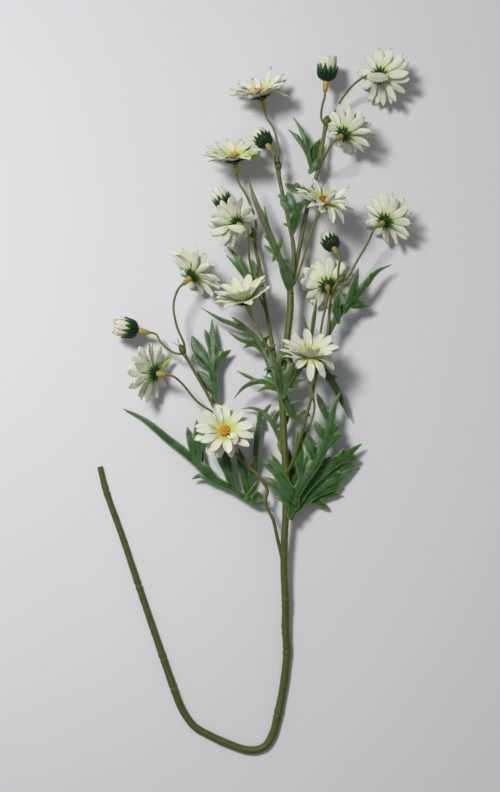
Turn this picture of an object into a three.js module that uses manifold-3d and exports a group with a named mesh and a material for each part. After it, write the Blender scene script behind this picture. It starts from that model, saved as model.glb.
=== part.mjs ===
// Artificial oxeye daisy spray: thirteen fabric blooms and five buds on one moulded branching stem.
// It lies down, its stem bent into a U. Millimetres: X across, Y along the spray, Z up from the surface.
import * as THREE from "three";
import { mergeVertices } from "three/addons/utils/BufferGeometryUtils.js";
import Module from "manifold-3d";

const wasm = await Module();
wasm.setup();

// Middle of the spray's own box, in the routes' coordinates
const SPRAY_MIDDLE = { x: 2.96, y: -4.04 };
// Air left between two pieces that touch on the real thing
const GAP = 0.3;
// Slivers flatter than this are smoothed away where pieces are joined
const JOIN_TOLERANCE = { stem: 0.02, leaf: 0.045 };
// How leaves are placed from above: millimetres a pixel at the surface, the pixel over the origin, eye height
const SEEN = { scale: 0.68, origin: [250, 396], eye: 1250 };
const WHOLE_TURN = 2 * Math.PI;

// Stem radii
const STEM_RADIUS = 2.5;
const UPPER_STEM_RADIUS = 2.15;
const PEDICEL_RADIUS = 0.75;
// Sides of the stems' sections
const SIDES = { stem: 8, spray: 6, knob: 6, pedicel: 4, collar: 6 };
// A knuckle is a waist between two swellings, as shares of the stem's radius
const KNUCKLE = { waist: 0.93, swelling: 1.17, halfLength: 2.8 };
// Closed knob of a fork: radius, length, and its side profile as shares of both
const KNOB = { radius: 2.4, length: 7.2, profile: [[0, 0.5], [0.3, 0.92], [0.68, 0.9]] };
// Height of the stem's axis when one flat of its eight-sided section lies on the surface
const LYING = STEM_RADIUS * Math.cos(Math.PI / 8);

// A bloom, measured from the back of its calyx along the way it faces
const COLLAR = { length: 7, radius: 1.95, endRadius: 1.4 };
const SHAFT_RADIUS = 1.05;
const HOLE_RADIUS = 1.5;
// The calyx's places, as [radius, height]
const CALYX = { sepals: 12, front: 2.1, hub: [3.2, 0.5], valley: [4.7, 1.7], tip: [7.3, 2.2] };
const PETALS = {
  count: 11, hub: 4.4, inner: 6.9, outer: 6.9, tip: 2, halfWidth: 2.7, shoulder: 0.82, apart: 0.3, thickness: 0.8,
  droop: 8,
};
const LAYERS = [
  { height: 3, rise: 12, turn: 0 },
  { height: 4.6, rise: 25, turn: 0.5 },
];
const HUB = { waist: 2.4, valley: 3.8, below: 0.6, above: 0.7 };
// How far the petals of one bloom may differ, and the seeds they are drawn from
const UNEVEN = { rise: 2, droop: 5, turn: 0.04, girth: 0.05, seed: 4201, seedStep: 97 };
// The disc of stamens: its places as [radius, height], every second spot of its rim dented
const DISC = {
  sides: 8, middle: 7.8, crown: [2.45, 7.6], rim: [3.7, 6.6], dent: [3.25, 7], back: [3.3, 5.6],
};

// A bud, measured from its base along the way it points, as [radius, height]
const BUD_CUP = {
  sepals: 12, outside: [[1.95, 0], [4.8, 1.7], [6.6, 5], [6.8, 8.4]], inside: [[5.8, 5.4], [3.1, 3]],
  tip: [7, 11.6],
};
const BUD_PETALS = {
  root: [[2.2, 3.4], [5, 6]], fluted: [[5.6, 9], [6.2, 12.6], [5.8, 16]], middle: 15, flute: 0.87, twist: 0.3,
};

// Leaf blades: the rib's height and the edges' depth from the middle, and the width along a blade as shares
const LEAF = { rib: 0.65, edge: 0.45, widths: [0.85, 0.95, 1, 0.82, 0.45, 0.04] };

const GREENS = { stem: 0x5a6a2e, leaf: 0x2f6b3a, calyx: 0x12452a };
const PETAL_WHITE = 0xe6e2cc;
const CENTRE_YELLOW = 0xd39a20;

// Main stem: from its cut end round the U, lying flat, then rising, then up to the three-way fork.
// Knuckles are the places in a route where the moulding swells.
const MAIN_STEM = [
  {
    radius: [STEM_RADIUS, STEM_RADIUS],
    route: [
      [-102, -48, LYING], [-98, -64, LYING], [-87, -95, LYING], [-76, -128, LYING], [-59, -178, LYING],
      [-52, -198, LYING], [-46, -213, LYING], [-38, -224, LYING], [-28, -230, LYING], [-15, -236, LYING],
      [-3, -240, LYING], [5, -240, LYING], [11, -237, LYING], [16, -228, LYING], [19, -216, LYING],
    ],
    knuckles: [1, 3, 4, 5, 14],
  },
  {
    radius: [STEM_RADIUS, UPPER_STEM_RADIUS],
    route: [
      [19, -216, LYING], [22, -201, 2.6], [24, -186, 3.2], [25, -172, 4], [24, -158, 5.5], [24, -140, 7.5],
      [23, -120, 9.5], [23, -101, 11.5], [24, -78, 14], [24, -53, 16],
    ],
    knuckles: [3, 4, 5, 9],
  },
  {
    radius: [UPPER_STEM_RADIUS, UPPER_STEM_RADIUS],
    route: [
      [24, -53, 16], [23, -33, 17], [22, -10, 18], [21, 8, 18.5], [23, 24, 19], [25, 40, 20], [27, 59, 20],
      [27, 71, 20],
    ],
    knuckles: [],
  },
];

// The sprays that branch off, each ending in a fork with a small closed knob
const SPRAYS = [
  {
    radius: [1.6, 1.3],
    route: [
      [27, 71, 20], [30, 84, 19], [34, 104, 17], [39, 128, 15], [46, 153, 13], [49, 171, 12], [51, 182, 11],
    ],
    knob: [52, 188, 11],
  },
  {
    radius: [1.5, 1.3],
    route: [[27, 71, 20], [29, 85, 21], [29, 100, 20], [25, 121, 19], [20, 144, 18], [19, 151, 18]],
    knob: [19, 157, 18],
  },
  {
    radius: [1.5, 1.1],
    route: [[21, 8, 18.5], [17, 23, 18], [15, 34, 17], [10, 63, 14], [6, 89, 11], [4, 98, 10], [3, 107, 9]],
    knob: [1, 113, 9],
  },
  {
    radius: [1.1, 1],
    route: [
      [24, -53, 16], [29, -43, 19], [34, -26, 22], [41, -1, 21], [45, 17, 19], [49, 31, 19], [52, 42, 20],
      [55, 70, 21], [59, 76, 21],
    ],
    knob: [63, 81, 21],
  },
  {
    radius: [1.2, 1],
    route: [
      [23, -116, 10], [21, -107, 10.5], [18.5, -96, 11.5], [15.6, -83.4, 13], [10.2, -71.9, 14],
      [11.6, -64.1, 14.5], [9, -57.4, 15], [3.6, -51.4, 15.5], [-2.4, -46.7, 15.5], [-13, -34, 15],
      [-26, -4, 15], [-40, 21, 17], [-44, 28, 17],
    ],
    knob: [-47.5, 36, 17.5],
  },
];

// Blooms, by the back of the calyx and the way each faces, with the pedicel's route from its branch.
// Cup closes a bloom by so many degrees; bent petals are [layer, petal, inner slope, outer slope].
const BLOOMS = [
  {
    at: [8, 199, 15.8], faces: [-0.25, 0.92, 0.3], cup: 14, bent: [[0, 5, 5, -40]],
    from: [[19, 151, 18], [19, 166, 17], [16, 179, 16]],
  },
  {
    at: [-10, 156, 17.5], faces: [-0.15, 0.93, 0.33], bent: [[0, 5, 5, -20], [1, 4, 14, 2], [1, 5, 14, 2]],
    from: [[3, 107, 9], [4, 117, 11], [-2, 134, 14]],
  },
  {
    at: [-8, 114, 30], faces: [-0.5, 0.3, -0.8], cup: 6, bent: [[0, 7, 5, -60]],
    from: [[11, 56, 15], [5, 70, 16], [1, 84, 21], [-1, 96, 30]],
  },
  {
    at: [-40, 79, 21.6], faces: [0.62, 0.62, -0.48],
    from: [[-44, 28, 17], [-44, 34, 18], [-49, 47, 22], [-51, 61, 24]],
  },
  { at: [-2, 61, 31], faces: [-0.3, 0.85, 0.43], from: [[18, 22, 18], [11, 34, 22], [5, 45, 26]] },
  {
    at: [-62, 15, 21.2], faces: [-0.82, 0.12, -0.55],
    from: [[-23, -12, 15], [-35, -4, 18], [-46, 9, 23]],
  },
  { at: [-18, -26, 26], faces: [0.15, 0.5, 0.85], cup: -4, bent: [[1, 3, 20, 55]], from: [[-13, -34, 15]] },
  {
    at: [39, 24, 33], faces: [0.05, 0.8, 0.6], bent: [[0, 4, 5, -45], [0, 5, 5, -50]],
    from: [[24, -53, 16], [31, -40, 15], [38, -26, 15], [43, -9, 21], [42, 0, 26]],
  },
  {
    at: [47, 125, 34], faces: [0.3, 0.8, 0.5], bent: [[0, 4, 5, -40], [0, 5, 5, -35]],
    from: [[27, 71, 20], [31, 78, 23], [36, 93, 28], [41, 110, 31]],
  },
  { at: [61, 173, 28], faces: [0.55, 0.5, -0.67], cup: 14, from: [[46, 153, 13], [49, 158, 22]] },
  {
    at: [85, 214, 20.9], faces: [0.62, 0.12, -0.77], cup: 5, bent: [[0, 2, 5, -60]],
    from: [[51, 182, 11], [55, 187, 11], [62, 200, 13], [69, 208, 20]],
  },
  {
    at: [89, 116, 20.9], faces: [0.55, 0.45, -0.7],
    from: [[59, 76, 21], [64, 78, 21], [72, 91, 22], [79, 103, 24]],
  },
  {
    at: [52, 73, 20], faces: [0, 0.3, -0.95], cup: 15,
    from: [[44, 14, 19], [46, 30, 17], [48, 48, 22], [51, 62, 27]],
  },
];
const BUDS = [
  { at: [51, 211, 18], points: [0.1, 0.99, 0], from: [[51, 182, 11], [48, 187, 12], [49, 197, 15]] },
  { at: [11.5, 168, 21], points: [-0.4, 0.65, -0.62], from: [[19, 151, 18], [17, 155, 20]] },
  { at: [-16, 127, 10], points: [-0.45, 0.88, -0.15], from: [[3, 107, 9], [-3, 110, 9], [-9, 118, 9]] },
  { at: [56, 99, 21], points: [-0.3, 0.65, -0.7], from: [[59, 76, 21], [59, 84, 23]] },
  { at: [-75, 44, 14], points: [-0.95, 0.2, 0.1], from: [[-44, 28, 17], [-51, 29, 16], [-60, 36, 14]] },
];

// Leaves: each is ribs and the lobes that spread from them, as [half width, then points out to the tip].
// Points are in pixels across and down, and millimetres of height. The smallest teeth are left out.
const LEAVES = {
  leaf_top_spray: [
    [2.7, [311, 168, 15], [308.5, 156, 15.5], [303.5, 145.5, 15.5], [297, 137.5, 14.5],
     [287.5, 128.8, 12.5]],
    [2.3, [309.5, 157, 15.5], [307, 146, 15.5], [304, 137, 14.5], [300, 127.5, 13.5], [293, 116.8, 12]],
    [2.2, [307.5, 151, 15.5], [308.3, 142, 14.5], [306.5, 135.2, 14]],
    [4.5, [312, 167, 14], [314, 152, 11.5], [320.5, 138.5, 9]],
    [4.6, [309.5, 170.5, 15.2], [315, 165, 17.5], [322.5, 157.5, 17.5]],
  ],
  leaf_left_spray: [
    [4.6, [292.5, 232, 23], [294, 221, 24.5], [296.5, 210, 25], [299.5, 202, 24.5]],
    [4.2, [295, 217, 24.5], [292, 205, 25], [287.3, 192.5, 23]],
    [2.7, [292, 216, 24.5], [286.5, 208, 24], [280.5, 200.5, 22.5]],
    [2.4, [291, 204, 24.5], [284.5, 198.5, 24], [278, 194.8, 22.5]],
    [2.4, [297, 216, 24], [302.5, 204, 23], [308, 199, 22.5], [314, 195.5, 21.5]],
    [2.2, [308, 200, 22.5], [311.5, 195, 22], [305, 190.5, 22]],
    [3.6, [308, 190.8, 22], [299, 190, 23], [292, 187.7, 22.5], [285, 183.7, 22]],
    [2.6, [299, 191, 23], [297, 187, 23], [296, 183.3, 22.5]],
  ],
  leaf_fork: [
    [3.5, [290.5, 291, 23], [289, 281, 25], [285, 270, 26], [280, 259, 26.5], [275.5, 249, 27],
     [270.5, 237, 27], [265.5, 225, 27], [260, 212, 26.5], [255, 200, 26], [251, 188, 25],
     [247.5, 174.5, 24]],
    [5.4, [290, 289, 23.5], [287.5, 278, 25], [284, 268, 26], [280.5, 258, 26.5]],
    [2.3, [276, 253, 27], [270.5, 250, 26.5], [264, 245.3, 25.5]],
    [2.3, [276, 252, 27], [280, 244.5, 27], [281, 236, 26]],
    [2.5, [281, 265, 26.5], [286, 260.5, 26.5], [290.5, 263.5, 25.5]],
    [2.3, [280, 259, 26.5], [275, 257, 26], [273, 261.8, 25]],
  ],
  leaf_left_branch: [
    [2.9, [251, 282, 13], [246, 276, 12], [241, 266, 11], [236.5, 257, 10], [227, 246.5, 8]],
    [1.9, [246, 279, 12], [240, 270.5, 10.5], [234, 262.5, 9.5], [225.7, 255, 8]],
    [1.9, [241.5, 268, 11], [240, 261, 11], [239.2, 255.5, 10.5]],
    [3.7, [250, 283, 12], [254.3, 272, 10.5], [251.7, 258.3, 8]],
  ],
  leaf_right_branch: [
    [4.6, [328, 335, 18.5], [334, 322, 19], [342, 310, 18.5], [351, 301, 18], [360, 291, 17.5],
     [368, 281, 17], [378, 271, 15], [392, 264.5, 12]],
    [4.3, [345, 311, 18.5], [350.5, 298, 18.5], [354, 285, 18], [358.5, 268, 17]],
    [2.3, [366, 286, 17.5], [369.5, 280, 17.5], [371, 272.5, 17]],
    [1.9, [359, 294, 17.5], [361.5, 289, 17], [361.7, 284, 16.5]],
    [2.4, [350, 306, 17.5], [359, 303, 15.5], [367.5, 300.2, 14]],
    [2.3, [350, 306.5, 17], [361, 306.5, 14], [371.5, 305, 12]],
    [3.9, [338, 322, 19], [336.5, 308, 22.5], [338.8, 290, 24.5]],
    [2.1, [337.5, 314, 21], [334, 308.5, 22], [331.3, 304, 21.5]],
  ],
  leaf_lower_left_spray: [
    [4, [214.5, 405, 11], [214.3, 388, 11], [213, 369, 11], [212.8, 352, 10], [212.5, 335, 8.5],
     [212, 320, 7]],
    [2.4, [211.5, 353, 10], [208.5, 341, 9], [205, 329.5, 8]],
    [4.9, [214, 373, 11], [206, 360, 10], [198, 350, 8.5], [192.2, 336, 6.5]],
    [2.7, [203, 365, 9.5], [197.5, 359.5, 8.5], [192.3, 355.5, 7.5]],
    [5, [214, 392, 11], [206.5, 381.5, 10], [197.5, 372, 8.5]],
    [2.7, [214.5, 371, 11], [219, 360.5, 10], [224.5, 354.5, 9], [231, 350, 8]],
  ],
  leaf_whorl: [
    [3.5, [283, 396, 22], [277.5, 383, 21.5], [271.5, 370, 20.5], [267, 357, 19], [261, 346, 17.5],
     [250, 333, 16.5], [236, 325.5, 16], [220, 319, 15.5], [200.5, 307.3, 15]],
    [2.3, [251, 334, 16.5], [240, 323.5, 16.5], [231, 316.3, 16]],
    [2.3, [265, 354, 18.5], [253, 343.3, 18.5], [241, 340, 18.5], [228, 331.8, 18.5]],
    [1.9, [255, 345, 18.5], [248.5, 345.2, 17.5], [243.3, 347.8, 16.5]],
    [2.5, [263, 350, 18.5], [264.5, 341, 19], [270.3, 334, 18.5]],
    [2.5, [267, 356, 19.5], [270, 348.5, 20], [276.5, 344, 20]],
    [2.5, [282, 394, 22.5], [272, 385, 22], [262, 381.3, 22], [252, 383, 21], [243, 388, 19],
     [234, 398.5, 16.5]],
    [1.9, [277, 390, 22], [266, 387.5, 20.5], [256.7, 392, 19]],
    [3, [284, 397, 23.5], [287, 386, 24.5], [291.5, 376, 24.5], [292, 365, 24], [285, 357.5, 23.5],
     [275, 353, 22.5]],
    [2.3, [291, 367, 24.5], [289.5, 355, 25], [283.3, 344.5, 24]],
    [2.2, [291, 374, 24.5], [282.5, 369, 25], [276, 374.5, 24.5]],
    [1.9, [286, 392, 24], [292, 390.5, 24], [298.7, 389, 23.5]],
    [4.5, [284, 395, 22.5], [292, 378, 23.5], [302, 364, 24], [311.5, 355.5, 22]],
    [2.2, [285, 390, 22.5], [294, 382, 23], [306.3, 379.3, 22]],
    [4, [302, 366, 23.8], [316, 363, 22], [326, 373, 20], [334, 385, 16], [341, 399, 11.5],
     [349.7, 419.5, 7]],
    [2.5, [328, 379, 19], [333, 377, 18], [338, 377, 16.5]],
    [2.4, [309.5, 364, 22.5], [311, 345, 19.5], [306, 327, 19], [300, 311, 19]],
    [2.1, [310.5, 342, 19.5], [314, 318, 22], [317, 296.5, 24]],
    [5, [283, 395, 22], [289, 407, 20.5], [295, 417, 19.7], [302.5, 424, 19.5]],
    [2.3, [288, 406, 21], [295, 403.3, 21.5], [302.5, 400.3, 21.5]],
    [2.5, [296, 418, 19.7], [304, 412, 20.2], [311, 417, 19.5]],
  ],
  leaf_behind_stem: [
    [2.5, [283, 450, 12], [277.5, 434, 10.5], [270.5, 420, 10], [262, 411.7, 9], [251, 407.9, 8],
     [240.7, 409, 6]],
    [2, [264, 413.5, 9], [268, 407.5, 9], [271.7, 404.2, 8]],
    [2.9, [273, 425, 10], [276.5, 415, 10], [282, 409, 9.5]],
    [2.7, [279, 433, 10.5], [286, 421, 9.5], [289.5, 412.5, 8.5]],
    [1.9, [284, 457, 12], [280.5, 449, 11], [276.7, 442.7, 10]],
    [2.9, [260, 411, 9], [259, 424, 7], [257, 440, 5], [255.5, 456, 3.5], [256.7, 474.5, 2.5]],
    [2.3, [258, 415, 8.5], [261, 421, 7.5], [264.3, 427.7, 6.5]],
  ],
  leaf_bottom_left: [
    [3.6, [264, 502, 11], [255, 503, 11], [245, 497.5, 11], [233, 489, 10.5], [220, 482.5, 10.5],
     [209, 475, 10], [196, 462, 9.5], [182, 450, 8.5], [166, 437.5, 7], [150, 424, 5.5], [138, 416, 4],
     [124, 409.2, 3]],
    [1.9, [169, 441, 7], [163, 434.3, 7.5], [157.7, 428.2, 7.5]],
    [3.9, [199, 467, 9.5], [197.8, 450, 10], [197.8, 435, 10], [196.5, 420.5, 9]],
    [3.3, [195, 463, 9.5], [192.3, 448, 9.5], [187.2, 427, 8.5]],
    [2.7, [217, 482, 10.5], [210, 472, 10.5], [204, 463, 10]],
    [2.3, [223, 484.5, 10], [211, 480.2, 9.5], [201, 475.7, 9], [191.7, 479, 7]],
    [4.5, [235, 491, 11], [229.7, 476, 11], [226.3, 462, 10.5], [225, 446.5, 9.5]],
    [2.5, [226.5, 473, 10.5], [221.7, 463.5, 10], [217.3, 455.5, 9]],
    [4.7, [249.5, 499, 11.5], [245.3, 480, 11.5], [241.7, 465, 11], [239, 448.5, 10]],
    [3.3, [249, 480, 11.5], [252.3, 467, 10.5], [257.2, 456, 9.5]],
    [2.5, [204.5, 473, 9.5], [203, 462, 7], [201.5, 450, 6]],
    [2.4, [246, 498.5, 11.5], [253, 490, 13.5], [258.5, 480.5, 13]],
    [2.7, [252, 503, 11.5], [257, 494.5, 13], [263, 498.5, 12]],
  ],
  leaf_bottom_right: [
    [5.2, [290, 516, 16], [295, 497, 18], [304, 480, 19.5], [314, 465, 19.5], [321, 451, 19],
     [326, 436, 18.5], [329.5, 422, 18], [333, 409, 17.5], [339.7, 392.5, 16.5]],
    [3.1, [328.5, 421, 18], [323.5, 409.5, 18], [317.3, 394, 16.5]],
    [3.3, [325, 440, 18.5], [320, 431.5, 18.5], [314.7, 421.5, 17.5]],
    [2.7, [327.5, 442, 18.5], [332, 432, 18], [335.7, 422, 17.5]],
    [1.9, [332, 433.5, 18], [335.5, 429.2, 18], [339.3, 424.8, 17.5]],
    [3.3, [324.5, 450, 19], [332.3, 441, 18.5], [342, 433.2, 16]],
    [4.7, [316.5, 463, 19.5], [311.5, 449, 19], [306.5, 438, 18], [299.5, 429, 16]],
    [4.3, [303, 485, 19.5], [300.5, 468, 19.5], [299, 451, 19], [296.8, 431, 17.5]],
    [2.5, [302, 471, 19.5], [304.7, 461.5, 19.5], [308.3, 453.7, 19]],
    [4.7, [297, 502, 18.5], [288, 487, 20], [278, 473, 20.5], [267.5, 458, 19]],
    [2.5, [280, 475.5, 19.5], [271.5, 469.5, 19], [263.2, 461.7, 18]],
    [4.3, [297, 507, 18], [285, 494, 19.5], [274, 484.5, 19.5], [261.5, 477.3, 17.5]],
    [2.3, [290, 506, 17.5], [282, 499.5, 17.5], [275.3, 496.3, 16.5]],
    [2.7, [289, 489, 19.5], [279.5, 467.5, 16.5], [270.7, 453.7, 15]],
    [3.3, [296, 501, 16.5], [292.7, 477, 11], [289, 449, 8]],
    [4, [291.5, 518, 12], [292.5, 507, 15], [294, 496, 18.2]],
    [5.2, [296, 507, 15.5], [309, 484, 14], [321, 472.3, 12.5], [333, 463.3, 11], [345, 455.3, 10],
     [361.3, 444.2, 9]],
    [3.1, [334, 465, 11], [340, 457, 11], [343.7, 448.2, 10.5]],
    [3.1, [343, 460, 10], [350, 458.3, 9.5], [357.5, 457.5, 9]],
    [3.1, [315, 476, 12], [324, 464.5, 9.5], [333.5, 456.3, 8]],
    [2.9, [315, 478, 12], [328, 474.3, 9], [340.5, 473, 7.5]],
    [2.7, [328, 471, 9], [342, 467.3, 7], [356, 464.3, 5.5]],
    [4.4, [289, 516, 13.5], [300, 505, 12.5], [313, 495, 11], [326, 486.5, 9], [339, 478.3, 7],
     [357.3, 465.3, 4.5]],
    [3.4, [317, 494, 10], [329, 489, 8], [341.5, 484.3, 6]],
    [2.5, [311, 496, 10.5], [320, 486.5, 8.5], [326.7, 478.7, 7.5]],
    [2.9, [310, 498.5, 10.5], [327, 495, 6.5], [341.5, 493.2, 4.5]],
    [2.9, [308, 500, 10.5], [319, 502.5, 7.5], [328, 508.3, 5.5]],
  ],
};

/** Three-number list as a vector. */
function point(list) {
  return new THREE.Vector3(...list);
}

/** Place of a spot seen so many pixels across and down and lying so high. */
function seen([across, down, height]) {
  const scale = SEEN.scale * (1 - height / SEEN.eye);
  return new THREE.Vector3((across - SEEN.origin[0]) * scale, (SEEN.origin[1] - down) * scale, height);
}

/** Repeatable draws between -1 and 1. */
function seededDraws(seed) {
  let state = seed;
  return () => {
    state = (state * 16807) % 2147483647;
    return (state / 2147483647) * 2 - 1;
  };
}

/** Closed geometry from points and triangles, turned so that its faces point out. */
function closedGeometry(points, triangles) {
  const cross = new THREE.Vector3();
  const volume = triangles.reduce((sum, [a, b, c]) => {
    return sum + points[a].dot(cross.crossVectors(points[b], points[c]));
  }, 0);
  const facing = volume > 0 ? triangles : triangles.map(([a, b, c]) => [a, c, b]);
  const geometry = new THREE.BufferGeometry().setFromPoints(points);
  geometry.setIndex(facing.flat());
  return geometry;
}

/** Skin over rings of equal length, first to last; a ring of one point is a tip. */
function skinOver(rings) {
  const points = rings.flat();
  const starts = [];
  rings.reduce((start, ring) => {
    starts.push(start);
    return start + ring.length;
  }, 0);
  const triangles = [];
  for (let i = 0; i + 1 < rings.length; i += 1) {
    joinRings(triangles, starts[i], rings[i].length, starts[i + 1], rings[i + 1].length);
  }
  capRing(triangles, starts[0], rings[0].length, true);
  capRing(triangles, starts.at(-1), rings.at(-1).length, false);
  return closedGeometry(points, triangles);
}

/** Triangles between two rings, one of which may be a tip. */
function joinRings(triangles, a, countA, b, countB) {
  const count = Math.max(countA, countB);
  for (let k = 0; k < count; k += 1) {
    const next = (k + 1) % count;
    if (countA > 1) triangles.push([a + k, a + next, b + (countB > 1 ? next : 0)]);
    if (countB > 1) triangles.push([a + (countA > 1 ? k : 0), b + next, b + k]);
  }
}

/** Flat cap over a ring that ends a skin. */
function capRing(triangles, start, count, isFirst) {
  for (let k = 1; k + 1 < count; k += 1) {
    triangles.push(isFirst ? [start, start + k + 1, start + k] : [start, start + k, start + k + 1]);
  }
}

/** Solid for joining and cutting. */
function solidOf(geometry) {
  const merged = mergeVertices(geometry);
  return new wasm.Manifold(new wasm.Mesh({
    numProp: 3,
    vertProperties: new Float32Array(merged.attributes.position.array),
    triVerts: new Uint32Array(merged.index.array),
  }));
}

/** The one biggest piece of a solid; scraps that a cut leaves are dropped. */
function biggestPiece(solid) {
  return solid.decompose().reduce((best, piece) => (piece.volume() > best.volume() ? piece : best));
}

/** Geometry of a joined solid. */
function geometryOf(solid, tolerance) {
  const mesh = biggestPiece(solid.simplify(tolerance)).getMesh();
  const geometry = new THREE.BufferGeometry();
  geometry.setAttribute("position", new THREE.BufferAttribute(new Float32Array(mesh.vertProperties), 3));
  geometry.setIndex(new THREE.BufferAttribute(new Uint32Array(mesh.triVerts), 1));
  return geometry;
}

/** Many closed geometries joined into one solid. */
function fuse(geometries) {
  return geometries.map(solidOf).reduce((whole, piece) => whole.add(piece));
}

/** Directions across and above a route at one place, with no roll about it. */
function crossDirections(tangent) {
  const across = new THREE.Vector3(0, 0, 1).cross(tangent).normalize().negate();
  return { across, above: across.clone().cross(tangent).normalize() };
}

/** Ring round a route, one of its flats facing straight down. */
function stemRing(curve, at, radius, sides) {
  const centre = curve.getPoint(at);
  const { across, above } = crossDirections(curve.getTangent(at));
  return Array.from({ length: sides }, (unused, k) => {
    const angle = ((k + 0.5) / sides) * WHOLE_TURN - Math.PI / 2;
    const spot = centre.clone().addScaledVector(across, radius * Math.cos(angle))
      .addScaledVector(above, radius * Math.sin(angle));
    return spot.setZ(Math.max(spot.z, 0));
  });
}

/** Rings of a knuckle at one of the route's points: a waist with a swelling either side. */
function knuckleRings(curve, points, i, radius, sides) {
  const { waist, swelling, halfLength } = KNUCKLE;
  const steps = points.length - 1;
  const before = halfLength / points[i].distanceTo(points[i - 1]) / steps;
  const rings = [[i / steps - before, 1], [i / steps - before / 2, swelling], [i / steps, waist]];
  if (i < steps) {
    const after = halfLength / points[i].distanceTo(points[i + 1]) / steps;
    rings.push([i / steps + after / 2, swelling], [i / steps + after, 1]);
  }
  return rings.map(([at, share]) => stemRing(curve, at, radius * share, sides));
}

/** Stretch of stem along hand-laid points, tapering and with its knuckles. */
function stemStretch(route, [startRadius, endRadius], sides, knuckles = []) {
  const points = route.map(point);
  const curve = new THREE.CatmullRomCurve3(points, false, "centripetal");
  const steps = points.length - 1;
  const rings = points.flatMap((unused, i) => {
    const radius = THREE.MathUtils.lerp(startRadius, endRadius, i / steps);
    if (knuckles.includes(i)) return knuckleRings(curve, points, i, radius, sides);
    return [stemRing(curve, i / steps, radius, sides)];
  });
  return skinOver(rings);
}

/** Small closed knob at the end of a fork. */
function forkKnob(from, to, extra) {
  const start = point(from);
  const along = point(to).sub(start).normalize();
  const { across, above } = crossDirections(along);
  const rings = KNOB.profile.map(([distance, share]) => Array.from({ length: SIDES.knob }, (unused, k) => {
    const angle = (k / SIDES.knob) * WHOLE_TURN;
    return start.clone().addScaledVector(along, distance * KNOB.length)
      .addScaledVector(across, (KNOB.radius * share + extra) * Math.cos(angle))
      .addScaledVector(above, (KNOB.radius * share + extra) * Math.sin(angle));
  }));
  rings.push([start.clone().addScaledVector(along, KNOB.length + extra)]);
  return skinOver(rings);
}

/** Point on a flower's own axis, so far in front of its base. */
function alongAxis({ at, faces, points }, distance) {
  return point(at).addScaledVector(point(faces ?? points).normalize(), distance);
}

/** Pedicel that swings in line with its flower and stops short of it. */
function pedicel(flower, shortBy, extra) {
  const lead = alongAxis(flower, -COLLAR.length - 5).toArray();
  const end = alongAxis(flower, -shortBy).toArray();
  const radius = PEDICEL_RADIUS + extra;
  return stemStretch([...flower.from, lead, end], [radius, radius], SIDES.pedicel);
}

/** Collar that carries a bud. */
function budCollar(bud, extra) {
  const route = [alongAxis(bud, -COLLAR.length).toArray(), alongAxis(bud, -GAP).toArray()];
  return stemStretch(route, [COLLAR.endRadius + extra, COLLAR.radius + extra], SIDES.collar);
}

/** All the stems as one moulding; extra makes it stouter, to cut clearance in what touches it. */
function stemMoulding(extra = 0) {
  const stouter = (radii) => radii.map((radius) => radius + extra);
  const pieces = MAIN_STEM.map(({ radius, route, knuckles }) => {
    return stemStretch(route, stouter(radius), SIDES.stem, knuckles);
  });
  SPRAYS.forEach(({ radius, route, knob }) => {
    pieces.push(stemStretch(route, stouter(radius), SIDES.spray));
    pieces.push(forkKnob(route.at(-1), knob, extra));
  });
  BLOOMS.forEach((bloom) => pieces.push(pedicel(bloom, COLLAR.length + GAP, extra)));
  BUDS.forEach((bud) => pieces.push(pedicel(bud, COLLAR.length - 1, extra), budCollar(bud, extra)));
  return fuse(pieces);
}

/** Places local points, with Z along the flower's axis, on the spray. */
function flowerFrame(at, faces) {
  const axis = point(faces).normalize();
  const side = new THREE.Vector3(0, 0, 1).cross(axis).normalize();
  const frame = new THREE.Matrix4().makeBasis(side, axis.clone().cross(side), axis);
  return frame.setPosition(...at);
}

/** Point at a distance from the axis, at an angle round it and a height along it. */
function polar(radius, angle, height) {
  return new THREE.Vector3(radius * Math.cos(angle), radius * Math.sin(angle), height);
}

/** Regular ring round the local axis. */
function ring(sides, radius, height, turn = 0) {
  return Array.from({ length: sides }, (unused, k) => {
    return polar(radius, ((k + turn) / sides) * WHOLE_TURN, height);
  });
}

/** Side profile of one petal: radius and height at its widest place, its shoulders and its tip. */
function petalProfile(layer, rise, outerRise) {
  const slopes = [rise, outerRise, outerRise - PETALS.droop].map(THREE.MathUtils.degToRad);
  const lengths = [PETALS.inner, PETALS.outer, PETALS.tip];
  let radius = PETALS.hub;
  let height = layer.height;
  return lengths.map((length, i) => {
    radius += length * Math.cos(slopes[i]);
    height += length * Math.sin(slopes[i]);
    return { radius, height };
  });
}

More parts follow.
